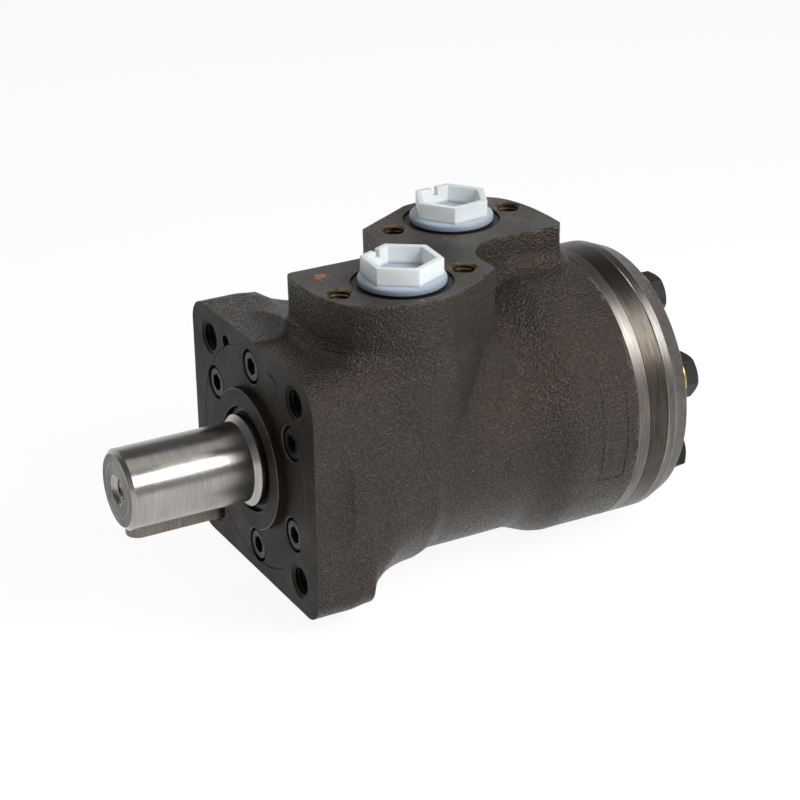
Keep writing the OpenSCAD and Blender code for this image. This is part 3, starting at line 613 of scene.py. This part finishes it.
def blackened_steel():
    material, tree, shader, place = node_material("blackened_steel", (0.012, 0.012, 0.013), 0.4)
    shader.inputs["Specular IOR Level"].default_value = 0.25
    patches = noise(tree, place, 260.0, 4.0)
    colour = ramp(tree, patches, [(0.35, (0.004, 0.004, 0.004)), (0.7, (0.014, 0.0125, 0.0115))])
    tree.links.new(colour, shader.inputs["Base Color"])
    gloss = ramp(tree, patches, [(0.3, grey(0.30)), (0.7, grey(0.50))])
    tree.links.new(gloss, shader.inputs["Roughness"])
    bump(tree, shader, patches, 0.15, 0.0001)
    return material


def yellow_zinc():
    material, tree, shader, place = node_material("yellow_zinc", (0.75, 0.45, 0.1), 0.28, 1.0)
    patches = noise(tree, place, 220.0, 3.0)
    colour = ramp(tree, patches, [(0.3, (0.55, 0.28, 0.05)), (0.7, (0.90, 0.62, 0.20))])
    tree.links.new(colour, shader.inputs["Base Color"])
    bump(tree, shader, patches, 0.1, 0.0001)
    return material


def seal_rubber():
    material, tree, shader, place = node_material("seal_rubber", (0.012, 0.012, 0.012), 0.5)
    grain = noise(tree, place, 900.0, 2.0)
    colour = ramp(tree, grain, [(0.3, grey(0.008)), (0.7, grey(0.018))])
    tree.links.new(colour, shader.inputs["Base Color"])
    bump(tree, shader, grain, 0.2, 0.0001)
    return material


PLUG_RIM_TINT = (0.40, 0.44, 0.52)
PLUG_TINT_RUN = 1.2


def plug_height(tree, z, start):
    """0 at a height of start millimetres above the port face, and 1 at PLUG_TINT_RUN above that."""
    return math_node(tree, "MULTIPLY_ADD", z, 1 / (PLUG_TINT_RUN * MM), -(PORT_Z + start) / PLUG_TINT_RUN)


def plug_plastic():
    """Milky plastic: black below the port face, blue-grey at the rim and white on the hexagon."""
    material, tree, shader, place = node_material("plug_plastic", (0.6, 0.66, 0.69), 0.32)
    patches = noise(tree, place, 120.0, 3.0)
    colour = ramp(tree, patches, [(0.3, (0.74, 0.80, 0.82)), (0.7, (0.82, 0.86, 0.87))])
    split = tree.nodes.new("ShaderNodeSeparateXYZ")
    tree.links.new(place, split.inputs[0])
    rim_stops = [(0.0, grey(0.02)), (0.12, PLUG_RIM_TINT), (1.0, PLUG_RIM_TINT)]
    tint = ramp(tree, plug_height(tree, split.outputs["Z"], 0.2), rim_stops)
    above = plug_height(tree, split.outputs["Z"], 1.9)
    above = ramp(tree, above, [(0.0, grey(0.0)), (1.0, grey(1.0))])
    tint = mix_colour(tree, above, tint, grey(1.0))
    colour = mix_colour(tree, 1.0, colour, tint, "MULTIPLY")
    tree.links.new(colour, shader.inputs["Base Color"])
    shader.inputs["Subsurface Weight"].default_value = 0.35
    shader.inputs["Subsurface Radius"].default_value = (0.6, 0.8, 1.0)
    shader.inputs["Subsurface Scale"].default_value = 0.004
    shader.inputs["Transmission Weight"].default_value = 0.12
    bump(tree, shader, patches, 0.08, 0.0002)
    return material


# Rust specks and pale chips, each (x, y, z, radius)
RUST_SPOTS = [(4.1, 22.2, 56.0, 1.7), (5.3, 20.9, 56.0, 0.9), (-4.5, -0.9, 13.6, 0.8)]
PLATE_RUST = [(43.9, 111.7, 6.9, 1.1), (37.9, 113.7, -23.2, 0.8)]
CHIPS = [
    (12.8, 2.4, 37.6, 0.35), (15.0, 6.2, 37.6, 0.4), (41.0, 19.5, -11.6, 0.4), (41.0, 4.1, -27.5, 0.4),
    (36.6, 38.7, 56.0, 0.6), (29.0, 25.1, 56.0, 0.45), (-4.7, 70.1, 56.0, 0.6),
]

IRON = cast_iron()
FACE = machined_iron("machined_iron", (0.012, 0.0095, 0.007), (0.028, 0.023, 0.017), 0.14, 0.5)
# Lighter, glossier copy of the cut iron for the ports' top faces; its lighter colour is partly the cut face's
# own tone and partly a painted sheen
PORT_FACE_SHEEN = machined_iron("port_face_sheen", (0.030, 0.027, 0.023), (0.050, 0.046, 0.041), 0.5, 0.42)
BRASSY = oiled_thread()
SHAFT_STEEL = turned_steel("ground_steel", (0.37, 0.35, 0.33), (0.46, 0.435, 0.41), 0.24)
PLATE_STEEL = turned_steel("plate_steel", (0.12, 0.108, 0.097), (0.24, 0.22, 0.20), 0.4, rust=PLATE_RUST)
GEAR_STEEL = turned_steel("gear_steel", (0.05, 0.042, 0.035), (0.11, 0.095, 0.08), 0.38)
COVER_STEEL = turned_steel("cover_steel", (0.13, 0.12, 0.11), (0.22, 0.21, 0.20), 0.36)
KEY_STEEL = turned_steel("key_steel", (0.16, 0.14, 0.125), (0.26, 0.235, 0.21), 0.4)
# Painted shade: a darker, rougher copy of the shaft's steel, drawn on the shaft's end face
SHADED_END_STEEL = turned_steel("shaft_end_steel_painted_shade", (0.13, 0.12, 0.11), (0.22, 0.21, 0.20), 0.45)
EDGE_IRON = machined_iron("edge_iron", (0.045, 0.039, 0.033), (0.075, 0.066, 0.057), 0.5, 0.42)
# Painted highlight: a brighter copy of the cover's steel for the end cover's chamfers, drawing bright edge
# lines all round
HIGHLIGHT_EDGE_STEEL = turned_steel("edge_steel_painted_highlight", (0.22, 0.21, 0.20), (0.40, 0.385, 0.37), 0.3)
BLACK = blackened_steel()
ZINC = yellow_zinc()
RUBBER = seal_rubber()
PLASTIC = plug_plastic()


# Housing

def cut_spool_bore(piece):
    """Recess of the front cover, spool bore and its two ring galleries."""
    profile = [(0, -1), (COVER_R + 0.05, -1), (COVER_R + 0.05, COVER_T), (WASHER_BORE_R, COVER_T),
               (WASHER_BORE_R, WASHER_BORE_END), (BORE_R, WASHER_BORE_END)]
    for shift in (0, PORT_PITCH):
        low = PORT_Y - GALLERY_W / 2 + shift
        high = PORT_Y + GALLERY_W / 2 + shift
        profile += [(BORE_R, low), (GALLERY_R, low), (GALLERY_R, high), (BORE_R, high)]
    profile += [(BORE_R, REAR_Y + 1), (0, REAR_Y + 1)]
    combine(piece, lathe(profile, 144))


def cut_flange_holes(piece):
    """Holes of the cover's screws, mounting threads, and a dimple and a pry notch at the cover."""
    counterbore = lathe([(0, -1), (5.5, -1), (5.5, SCREW_HEAD_END), (3.05, SCREW_HEAD_END),
                         (3.05, 27.4), (0, 27.4)], 48)
    combine(piece, around(counterbore, COVER_SCREWS, COVER_SCREW_TURN, SCREW_CIRCLE_R))
    thread = tapped_hole(0, 14.5, 4.3, 5.0, 1.5, 0.5, 0.1)
    combine(piece, around(thread, FLANGE_BOLTS, FLANGE_BOLT_TURN, FLANGE_BOLT_CIRCLE_R))
    dimple = at_angle(rod(2.2, -1, 4, 32), 118, 36.1)
    pry_notch = at_angle(rod(6.0, -1, 2.2), 63, 30.1)
    combine(piece, joined([dimple, pry_notch]))


def cut_ports(piece):
    """Both ports, each with two threads beside it and a channel to its gallery."""
    profile = [(0, -1), (15.5, -1), (15.5, 0.6), (11.4, 0.6), (10.48, 1.5)]
    profile += thread_profile(9.3, 10.48, 1.6, 16, 1.814)
    profile += [(8.6, 16), (8.6, 30), (0, 30)]
    port = moved(turned(lathe(profile, 96), -90, "X"), PORT_X, PORT_Y, PORT_Z)
    tapped = turned(tapped_hole(0, 12.4, 3.4, 4.0, 1.25, 0.4, 0.1), -90, "X")
    screws = [moved(tapped, PORT_X, PORT_Y + s * PORT_SCREW_REACH, PORT_Z) for s in (-1, 1)]
    channel = turned(turned(rod(4.2, 0, 16), 90, "X"), 206, "Y")
    channel = moved(channel, PORT_X - 2.5, PORT_Y, 30)
    for solid, slot in ((port, MACHINED), (joined(screws), THREAD), (channel, MACHINED)):
        other = moved(turned(moved(solid, 0, -MIDDLE_Y, 0), 180, "Z"), 0, MIDDLE_Y, 0)
        combine(piece, joined([solid, other]), slot=slot)


def cut_rear_face(piece):
    """Timed passages with their windows, bolt threads and the sealing ring's groove."""
    passage = rod(PASSAGE_R, MIDDLE_Y - 4, REAR_Y + 1, 32)
    combine(piece, around(passage, LOBES, PASSAGE_TURN, PASSAGE_CIRCLE_R))
    window = moved(turned(rod(3.0, 0, 10.6, 32), -90, "Z"), 0, MIDDLE_Y, 0)
    combine(piece, around(window, LOBES, PASSAGE_TURN, 16))
    combine(piece, around(rod(4.05, 94.1, REAR_Y + 1, 32), LOBES, GEAR_TURN, BOLT_CIRCLE_R))
    combine(piece, ring_groove(109.7, REAR_Y + 1))


def cut_valves_and_drain(piece):
    """Check valve bores with their drillings, the drain port and the drain channel."""
    for a, y in VALVES:
        valve = lathe([(0, y), (1.6, y), (1.6, 97), (2.75, 97), (2.75, REAR_Y + 1), (0, REAR_Y + 1)], 32)
        combine(piece, at_angle(valve, a, VALVE_CIRCLE_R))
        drilling = turned(rod(1.1, 0, 18.5, 24), -90, "Z")
        combine(piece, at_angle(moved(drilling, 0, 101.17, 0), a, 18))
    profile = [(0, -5), (10.5, -5), (10.5, 0), (7.3, 0), (6.58, 0.8)]
    profile += thread_profile(5.6, 6.58, 0.9, 12, 1.337)
    profile += [(2.5, 12), (2.5, 14.7), (0, 14.7)]
    combine(piece, moved(turned(lathe(profile, 64), -90, "Z"), DRAIN_X, DRAIN_Y, 0))
    combine(piece, moved(rod(2.0, 13, DRAIN_Y, 32), -25, 0, 0))
    combine(piece, moved(rod(3.0, 13, 15, 32), -22.5, 0, 0))


def ring_groove(y0, y1):
    """Cutter for a sealing ring's groove in the stack."""
    inner, outer = RING_GROOVE
    return lathe([(inner, y0), (outer, y0), (outer, y1), (inner, y1)], 144, ring=True)


def machine_housing(piece):
    combine(piece, box((-60, 0, -60), (60, REAR_Y, PORT_Z)), "INTERSECT")
    cut_spool_bore(piece)
    cut_flange_holes(piece)
    cut_ports(piece)
    cut_rear_face(piece)
    cut_valves_and_drain(piece)


def arc_block(y0, y1, a0, a1, r0, r1):
    """Part of a ring around the motor's axis, between two angles."""
    steps = [math.radians(a0 + (a1 - a0) * i / 24) for i in range(25)]
    outline = [(r1 * math.cos(a), r1 * math.sin(a)) for a in steps]
    outline += [(r0 * math.cos(a), r0 * math.sin(a)) for a in reversed(steps)]
    return slab(outline, y0, y1)


def label_frame():
    """Cutter for the empty frame on the drum: two bars around it and two along it."""
    y0, y1, a0, a1 = 97.6, 107.2, -20.0, 21.0
    inner, outer, width, lean = DRUM_R - 0.15, DRUM_R + 1, 0.8, 1.0
    bars = [arc_block(y, y + width, a0, a1, inner, outer) for y in (y0, y1 - width)]
    bars += [arc_block(y0 + width, y1 - width, a, a + lean, inner, outer) for a in (a0, a1 - lean)]
    return joined(bars)


def make_housing():
    materials = [IRON, FACE, BRASSY, PORT_FACE_SHEEN, RUBBER]
    piece = add_mesh("housing_casting", casting(), slots=len(materials))
    machine_housing(piece)
    combine(piece, label_frame(), slot=0)
    for face in piece.data.polygons:
        if face.material_index != MACHINED or face.normal.z < 0.9:
            continue
        # Top faces of the ports get the lighter copy, partly a painted sheen
        if face.center.z > (PORT_Z - 0.05) * MM:
            face.material_index = PORT_TOP
        # The seat's ring around each plug is painted black with the rubber material; no seal is modelled
        # there
        elif face.center.z > (PORT_Z - 0.7) * MM:
            face.material_index = SEAT
    finish_piece(piece, "motor_body", materials, ["housing"], 38.0)


make_housing()


# Front cover, its screws and the dust seal

def make_front_cover():
    profile = [(15.15, 2.6), (15.15, 0.9), (16.5, 0.9), (16.5, -2.5), (16.8, -2.8), (21.85, -2.8),
               (22.2, -2.45), (22.2, 0), (COVER_R - 0.25, 0), (COVER_R, 0.25), (COVER_R, 10.2),
               (33.04, 10.2), (33.04, 12.56), (COVER_R, 12.56), (COVER_R, COVER_T), (20.6, COVER_T),
               (20.6, 10), (19.45, 10), (19.45, 2.6)]
    piece = add_mesh("front_cover_detail", lathe(profile, 144, ring=True), slots=3)
    hole = lathe([(0, -1), (5.8, -1), (5.8, 0), (5.5, 0.3), (5.5, SCREW_HEAD_END), (3.2, SCREW_HEAD_END),
                  (3.2, COVER_T + 1), (0, COVER_T + 1)], 48)
    combine(piece, around(hole, COVER_SCREWS, COVER_SCREW_TURN, SCREW_CIRCLE_R))
    for face in piece.data.polygons:
        if -0.9 < face.normal.y < -0.4:
            face.material_index = 2
    finish_piece(piece, "motor_body", [FACE, FACE, EDGE_IRON], ["front_cover"])


def make_cover_screws():
    screw = lathe([(0, 0.4), (4.4, 0.4), (5.0, 1.0), (5.0, SCREW_HEAD_END), (3.0, SCREW_HEAD_END),
                   (3.0, 26.4), (0, 26.4)], 40)
    screws = around(screw, COVER_SCREWS, COVER_SCREW_TURN, SCREW_CIRCLE_R)
    piece = add_mesh("cover_screws_detail", screws, slots=1)
    socket = slab(hexagon(5.0), -1, 3.4)
    combine(piece, around(socket, COVER_SCREWS, COVER_SCREW_TURN, SCREW_CIRCLE_R), slot=0)
    finish_piece(piece, "motor_body", [BLACK], ["front_cover_screws"])


def make_dust_seal():
    profile = [(14.3, -0.6), (14.7, -0.9), (16.1, -0.9), (16.45, -0.5), (16.45, 0.9), (14.8, 0.9),
               (14.6, 0.2)]
    piece = add_mesh("dust_seal_detail", lathe(profile, 96, ring=True))
    finish_piece(piece, "motor_body", [RUBBER], ["dust_seal"])


make_front_cover()
make_cover_screws()
make_dust_seal()


# Output shaft and key

def spline_outline():
    """Teeth of the shaft's internal spline as one star-shaped outline."""
    half = SPLINE_TOOTH_W / 2
    lean = math.degrees(math.asin(half / SPLINE_HUB_R))
    top = math.degrees(math.asin(half / SPLINE_TIP_R))
    outline = []
    for i in range(SPLINE_TEETH):
        a = 360 / SPLINE_TEETH * i
        for r, da in ((SPLINE_HUB_R, -lean), (SPLINE_TIP_R, -top), (SPLINE_TIP_R, top), (SPLINE_HUB_R, lean)):
            outline.append((r * math.cos(math.radians(a + da)), r * math.sin(math.radians(a + da))))
    return outline


def key_outline(width, y0, y1, count=12):
    r = width / 2
    outline = []
    for centre, start in ((y1 - r, 0), (y0 + r, 180)):
        for i in range(count + 1):
            a = math.radians(start + 180 * i / count)
            outline.append((r * math.cos(a), centre + r * math.sin(a)))
    return outline


def key_block(width, y0, y1, low, high):
    """Upright block with round ends, between two depths below the shaft's axis."""
    return flat_prism(key_outline(width, y0, y1), -high, -low)


def make_shaft():
    profile = [(0, -22.7), (3.4, -24.5)]
    y = -24.5
    while y > -43.0:
        profile += [(3.4, y), (4.0, y - 0.6), (3.4, y - 1.2)]
        y -= 1.25
    profile += [(4.0, -43.5), (4.9, -44.7), (8.2, -44.7), (8.35, -44.5), (8.5, -44.7), (11.2, -44.7),
                (SHAFT_R, -43.5), (SHAFT_R, -5.7), (14.25, -4.0), (14.25, 14), (SPOOL_R, 14)]
    for middle in (PORT_Y, PORT_Y + PORT_PITCH):
        profile += [(SPOOL_R, middle - 4), (16, middle - 4), (16, middle + 4), (SPOOL_R, middle + 4)]
    profile += [(SPOOL_R, 98), (13.2, 98), (13.2, 46.5), (SPLINE_HUB_R, 46.5), (SPLINE_HUB_R, 30.5),
                (8.8, 30.5), (8.8, 27.5), (0, 27.5)]
    piece = add_mesh("output_shaft_detail", lathe(profile, 144), slots=2)
    combine(piece, slab(spline_outline(), 30.5, 47), slot=0)
    combine(piece, key_block(8.02, *KEY_Y, 8.5, 14), slot=0)
    rotor_turn = (LOBES * GEAR_TURN - 90) / (LOBES - 1)
    for first, y0, y1 in ((rotor_turn + 15, PORT_Y, 64.5), (rotor_turn + 45, 58.1, PORT_Y + PORT_PITCH)):
        slot = box((16.2, y0, -2.2), (21, y1, 2.2))
        combine(piece, around(slot, LOBES - 1, first, 0), slot=0)
    # The shaft's end face gets the darker steel, a painted shade
    for face in piece.data.polygons:
        if face.center.y < -43.4 * MM and face.normal.y < -0.9:
            face.material_index = 1
    finish_piece(piece, "shaft", [SHAFT_STEEL, SHADED_END_STEEL], ["output_shaft"])


def make_key():
    piece = add_mesh("shaft_key_detail", key_block(8.0, *KEY_Y, 8.55, 15.5))
    bevel(piece, 0.35)
    finish_piece(piece, "shaft", [KEY_STEEL], ["shaft_key"])


make_shaft()
make_key()


# Channel plate, stator, end cover, bolts and washers

def bolt_holes(y0, y1):
    """Cutter for the seven bolt holes of a plate that lies between y0 and y1."""
    return around(rod(BOLT_HOLE_R, y0 - 1, y1 + 1, 32), LOBES, GEAR_TURN, BOLT_CIRCLE_R)


def make_plate():
    edge = 0.15
    profile = [(14.6, REAR_Y), (DRUM_R - edge, REAR_Y), (DRUM_R, REAR_Y + edge),
               (DRUM_R, PLATE_Y - edge), (DRUM_R - edge, PLATE_Y), (14.6, PLATE_Y)]
    piece = add_mesh("channel_plate_detail", lathe(profile, 192, ring=True), slots=1)
    passage = rod(PASSAGE_R, REAR_Y - 1, PLATE_Y + 1, 32)
    combine(piece, around(passage, LOBES, PASSAGE_TURN, PASSAGE_CIRCLE_R), slot=0)
    combine(piece, bolt_holes(REAR_Y, PLATE_Y), slot=0)
    finish_piece(piece, "motor_body", [PLATE_STEEL], ["channel_plate"])


def stator_hollow(steps=32):
    """Outline of the stator's inside: a circle with seven round lobes standing into it."""
    outline = []
    for i in range(LOBES):
        for j in range(steps):
            part = (j + 0.5) / steps
            a = 360 / LOBES * (i + part)
            lean = math.radians(360 / LOBES * part if j < steps / 2 else 360 / LOBES * (part - 1))
            side = ROLLER_CIRCLE_R * math.sin(lean)
            r = ROOT_R
            if abs(side) < ROLLER_R:
                near = ROLLER_CIRCLE_R * math.cos(lean) - math.sqrt(ROLLER_R * ROLLER_R - side * side)
                r = min(ROOT_R, near)
            turn = math.radians(a + GEAR_TURN)
            outline.append((r * math.cos(turn), r * math.sin(turn)))
    return outline


def make_stator():
    piece = add_mesh("stator_detail", rod(DRUM_R, PLATE_Y, GEAR_Y, 192), slots=1)
    combine(piece, slab(stator_hollow(), PLATE_Y - 1, GEAR_Y + 1), slot=0)
    combine(piece, bolt_holes(PLATE_Y, GEAR_Y), slot=0)
    for y0, y1 in ((PLATE_Y - 1, PLATE_Y + 1.4), (GEAR_Y - 1.4, GEAR_Y + 1)):
        combine(piece, ring_groove(y0, y1), slot=0)
    finish_piece(piece, "motor_body", [GEAR_STEEL], ["stator"])


def make_end_cover():
    profile = [(0, GEAR_Y + 2.85), (12.05, GEAR_Y + 2.85), (12.05, GEAR_Y), (DRUM_R - 0.35, GEAR_Y),
               (DRUM_R, GEAR_Y + 0.35), (DRUM_R, END_Y - 5.75), (DRUM_R - 0.2, END_Y - 5.45),
               (DRUM_R - 2.1, END_Y - 0.3), (DRUM_R - 2.4, END_Y), (0, END_Y)]
    piece = add_mesh("end_cover_detail", lathe(profile, 192), slots=3)
    combine(piece, bolt_holes(GEAR_Y, END_Y), slot=0)
    for face in piece.data.polygons:
        # Chamfers get the brighter steel, a painted highlight; the rear taper gets the paler iron
        if 0.5 < abs(face.normal.y) < 0.9:
            face.material_index = 1
        elif face.center.y > (END_Y - 5.5) * MM and abs(face.normal.y) > 0.1:
            face.material_index = 2
    materials = [COVER_STEEL, HIGHLIGHT_EDGE_STEEL, EDGE_IRON]
    finish_piece(piece, "motor_body", materials, ["end_cover"], 15.0)


def make_bolts():
    """Seven hexagon bolts, each with its head turned its own way."""
    head_y, head_t = END_Y + WASHER_T, 5.3
    head = add_mesh("end_bolts_detail", slab(hexagon(13.0), head_y, head_y + head_t), slots=1)
    crown = lathe([(0, head_y - 1), (7.9, head_y - 1), (7.9, head_y + 4.4), (6.3, head_y + head_t),
                   (0, head_y + head_t)], 48)
    combine(head, crown, "INTERSECT", slot=0)
    dish = lathe([(0, head_y + 4.9), (3.9, head_y + 4.9), (4.3, head_y + 6), (0, head_y + 6)], 40)
    combine(head, dish, slot=0)
    combine(head, rod(4.0, 95.1, head_y + 1, 40), "UNION", slot=0)
    points = np.array([vertex.co for vertex in head.data.vertices]) / MM
    bolt = (points, [tuple(face.vertices) for face in head.data.polygons])
    bpy.data.objects.remove(head)
    bolts = []
    for i, twist in enumerate([12, 41, 25, 8, 33, 50, 19]):
        bolts.append(at_angle(turned(bolt, twist, "Y"), GEAR_TURN + i * 360 / LOBES, BOLT_CIRCLE_R))
    piece = add_mesh("end_bolts_detail", joined(bolts))
    finish_piece(piece, "motor_body", [BLACK], ["end_bolts"])


def make_washers():
    profile = [(4.15, END_Y), (7.6, END_Y), (7.8, END_Y + 0.25), (7.8, END_Y + 1.7),
               (7.6, END_Y + WASHER_T), (4.15, END_Y + WASHER_T)]
    washers = around(lathe(profile, 48, ring=True), LOBES, GEAR_TURN, BOLT_CIRCLE_R)
    piece = add_mesh("bolt_washers_detail", washers)
    finish_piece(piece, "motor_body", [ZINC], ["end_bolt_washers"])


make_plate()
make_stator()
make_end_cover()
make_bolts()
make_washers()


# Port plugs

def make_plug(name, node, body, x, y, turn, seed):
    """Plug with a hexagon cup on a threaded neck; turn sets the hexagon and seed the waves of its edge."""
    profile = [(0, -11), (9.6, -11), (10.2, -10.4)]
    profile += thread_profile(9.7, 10.3, -10.2, -1.2, 1.814)
    profile += [(9.9, -0.6), (9.9, 0), (12.9, 0), (13.3, 0.35), (13.4, 1.6), (13.25, 2.3), (12.6, 2.8),
                (0, 2.8)]
    piece = add_mesh(name, upright(lathe(profile, 96)), slots=1)
    combine(piece, turned(flat_prism(hexagon(21.6), 2.0, PLUG_TOP), turn, "Z"), "UNION", slot=0)
    combine(piece, turned(flat_prism(hexagon(17.6), 2.6, PLUG_TOP + 1), turn, "Z"), slot=0)
    combine(piece, upright(lathe([(0, -12), (8.3, -12), (8.3, -1.2), (0, -1.2)], 64)), slot=0)
    notch = box((0, -1.0, PLUG_TOP - 2.5), (14, 1.0, PLUG_TOP + 1))
    combine(piece, turned(notch, turn + 150, "Z"), slot=0)
    bevel(piece, 0.3, 40)
    for vertex in piece.data.vertices:
        p = vertex.co / MM
        wave = math.sin(0.9 * p.x + seed) * math.sin(0.8 * p.y + 2 * seed) * 0.12
        if p.z > 3.5:
            vertex.co.z += min(wave, 0) * MM
    piece.data.transform(Matrix.Translation(Vector((x, y, PORT_Z - PLUG_SEAT)) * MM))
    finish_piece(piece, body, [PLASTIC], [node], 40.0)


make_plug("port_plug_a_detail", "port_plug_a", "plug_a", PORT_X, PORT_Y, 55.1, 1.0)
make_plug("port_plug_b_detail", "port_plug_b", "plug_b", -PORT_X, PORT_Y + PORT_PITCH, 35.5, 2.3)


# CAD nodes that stay get a material of their own

KEPT = {
    "front_cover_ring": RUBBER, "shaft_seal": RUBBER, "housing_ring": RUBBER,
    "stator_front_ring": RUBBER, "stator_rear_ring": RUBBER,
    "thrust_washer_front": SHAFT_STEEL, "thrust_washer_rear": SHAFT_STEEL,
    "thrust_needle_cage": SHAFT_STEEL, "thrust_needles": SHAFT_STEEL,
    "check_ball_a": SHAFT_STEEL, "check_ball_b": SHAFT_STEEL,
    "cardan_shaft": GEAR_STEEL, "rotor": GEAR_STEEL, "cardan_stop_disc": SHAFT_STEEL,
    "check_stop_screws": BLACK, "drain_plug": BLACK, "drain_washer": ZINC,
}
for name, material in KEPT.items():
    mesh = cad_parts[name].data
    mesh.materials.clear()
    mesh.materials.append(material)


# Studio: a white floor, a white world and soft lights

def background_shader(tree, lit, background):
    """Shows the background to camera, glossy and transmission rays, and the lit shader to the rest."""
    rays = tree.nodes.new("ShaderNodeLightPath")
    seen = math_node(tree, "MAXIMUM", rays.outputs["Is Camera Ray"], rays.outputs["Is Glossy Ray"])
    seen = math_node(tree, "MAXIMUM", seen, rays.outputs["Is Transmission Ray"])
    mix = tree.nodes.new("ShaderNodeMixShader")
    tree.links.new(seen, mix.inputs[0])
    tree.links.new(lit, mix.inputs[1])
    tree.links.new(background, mix.inputs[2])
    return mix.outputs[0]


# The tent's brightness by the height of a direction, and by how far it points to the back
WORLD_STOPS = [(0.0, grey(1.0)), (0.25, grey(0.75)), (0.5, grey(0.2)), (1.0, grey(0.08))]
WORLD_BACK = (-0.87, 0.5, 0.0)
WORLD_SIDES = [(0.0, grey(0.4)), (0.55, grey(0.5)), (0.85, grey(1.0))]
WORLD_LIGHT = 0.36
FLOOR_SIZE, FLOOR_T, FLOOR_GAP = 3000.0, 5, 0.1
FLOOR_GLOW, SHADOW_SHARE = 1.05, 0.12


def make_world():
    world = bpy.data.worlds.new("studio")
    world.use_nodes = True
    tree = world.node_tree
    place = tree.nodes.new("ShaderNodeTexCoord").outputs["Generated"]
    split = tree.nodes.new("ShaderNodeSeparateXYZ")
    tree.links.new(place, split.inputs[0])
    tent = ramp(tree, split.outputs["Z"], WORLD_STOPS)
    behind = tree.nodes.new("ShaderNodeVectorMath")
    behind.operation = "DOT_PRODUCT"
    tree.links.new(place, behind.inputs[0])
    behind.inputs[1].default_value = WORLD_BACK
    side = math_node(tree, "MULTIPLY_ADD", behind.outputs["Value"], 0.5, 0.5)
    tent = mix_colour(tree, 1.0, tent, ramp(tree, side, WORLD_SIDES), "MULTIPLY")
    light = tree.nodes["Background"]
    tree.links.new(tent, light.inputs["Color"])
    light.inputs["Strength"].default_value = WORLD_LIGHT
    rays = tree.nodes.new("ShaderNodeLightPath")
    white = tree.nodes.new("ShaderNodeBackground")
    seen = mix_colour(tree, rays.outputs["Is Camera Ray"], tent, grey(1.0))
    tree.links.new(seen, white.inputs["Color"])
    shader = background_shader(tree, light.outputs[0], white.outputs[0])
    tree.links.new(shader, tree.nodes["World Output"].inputs["Surface"])
    bpy.context.scene.world = world


def make_floor():
    level = cad_bounds[0][2] / MM - FLOOR_GAP
    size = FLOOR_SIZE
    outline = [(-size, -size), (size, -size), (size, size), (-size, size)]
    floor = add_mesh("floor", flat_prism(outline, level - FLOOR_T, level))
    material = bpy.data.materials.new("floor")
    material.use_nodes = True
    tree = material.node_tree
    shader = tree.nodes["Principled BSDF"]
    shader.inputs["Base Color"].default_value = (0.9, 0.9, 0.9, 1)
    shader.inputs["Roughness"].default_value = 0.9
    glow = tree.nodes.new("ShaderNodeEmission")
    glow.inputs["Strength"].default_value = FLOOR_GLOW
    shadow = tree.nodes.new("ShaderNodeMixShader")
    shadow.inputs[0].default_value = SHADOW_SHARE
    tree.links.new(glow.outputs[0], shadow.inputs[1])
    tree.links.new(shader.outputs[0], shadow.inputs[2])
    mixed = background_shader(tree, shader.outputs[0], shadow.outputs[0])
    tree.links.new(mixed, tree.nodes["Material Output"].inputs["Surface"])
    floor.data.materials.append(material)


def area_light(name, place, aim, size, watts):
    data = bpy.data.lights.new(name, "AREA")
    data.shape = "RECTANGLE"
    data.size, data.size_y = size[0] * MM, size[1] * MM
    data.energy = watts
    lamp = bpy.data.objects.new(name, data)
    lamp.location = Vector(place) * MM
    lamp.rotation_euler = (Vector(aim) - Vector(place)).to_track_quat("-Z", "Y").to_euler()
    bpy.context.scene.collection.objects.link(lamp)


def make_camera():
    azimuth, elevation = math.radians(CAMERA_AZIMUTH), math.radians(CAMERA_ELEVATION)
    level = math.cos(elevation)
    back = Vector((math.sin(azimuth) * level, -math.cos(azimuth) * level, math.sin(elevation)))
    right = Vector((0, 0, 1)).cross(back).normalized()
    up = back.cross(right)
    roll = math.radians(CAMERA_ROLL)
    right, up = (math.cos(roll) * right + math.sin(roll) * up,
                 math.cos(roll) * up - math.sin(roll) * right)
    data = bpy.data.cameras.new("camera")
    data.sensor_width = SENSOR_MM
    data.lens = SENSOR_MM * CAMERA_FOCAL_PIXELS / IMAGE_PIXELS
    data.clip_start = 0.05
    camera = bpy.data.objects.new("camera", data)
    place = Vector(CAMERA_TARGET) + back * CAMERA_DISTANCE
    matrix = Matrix((right, up, back)).transposed().to_4x4()
    matrix.translation = place * MM
    camera.matrix_world = matrix
    bpy.context.scene.collection.objects.link(camera)
    bpy.context.scene.camera = camera


make_world()
make_floor()
area_light("side", (490, 300, 430), (0, 50, 0), (460, 260), 4.0)
area_light("top", (80, -60, 650), (0, 40, 0), (600, 800), 1.0)
area_light("ridge", (235, 315, 470), (0, 50, 0), (110, 110), 0.9)
area_light("front", (-125, -300, 470), (0, 20, 0), (120, 120), 0.4)
make_camera()

bpy.context.scene.view_settings.view_transform = "Standard"
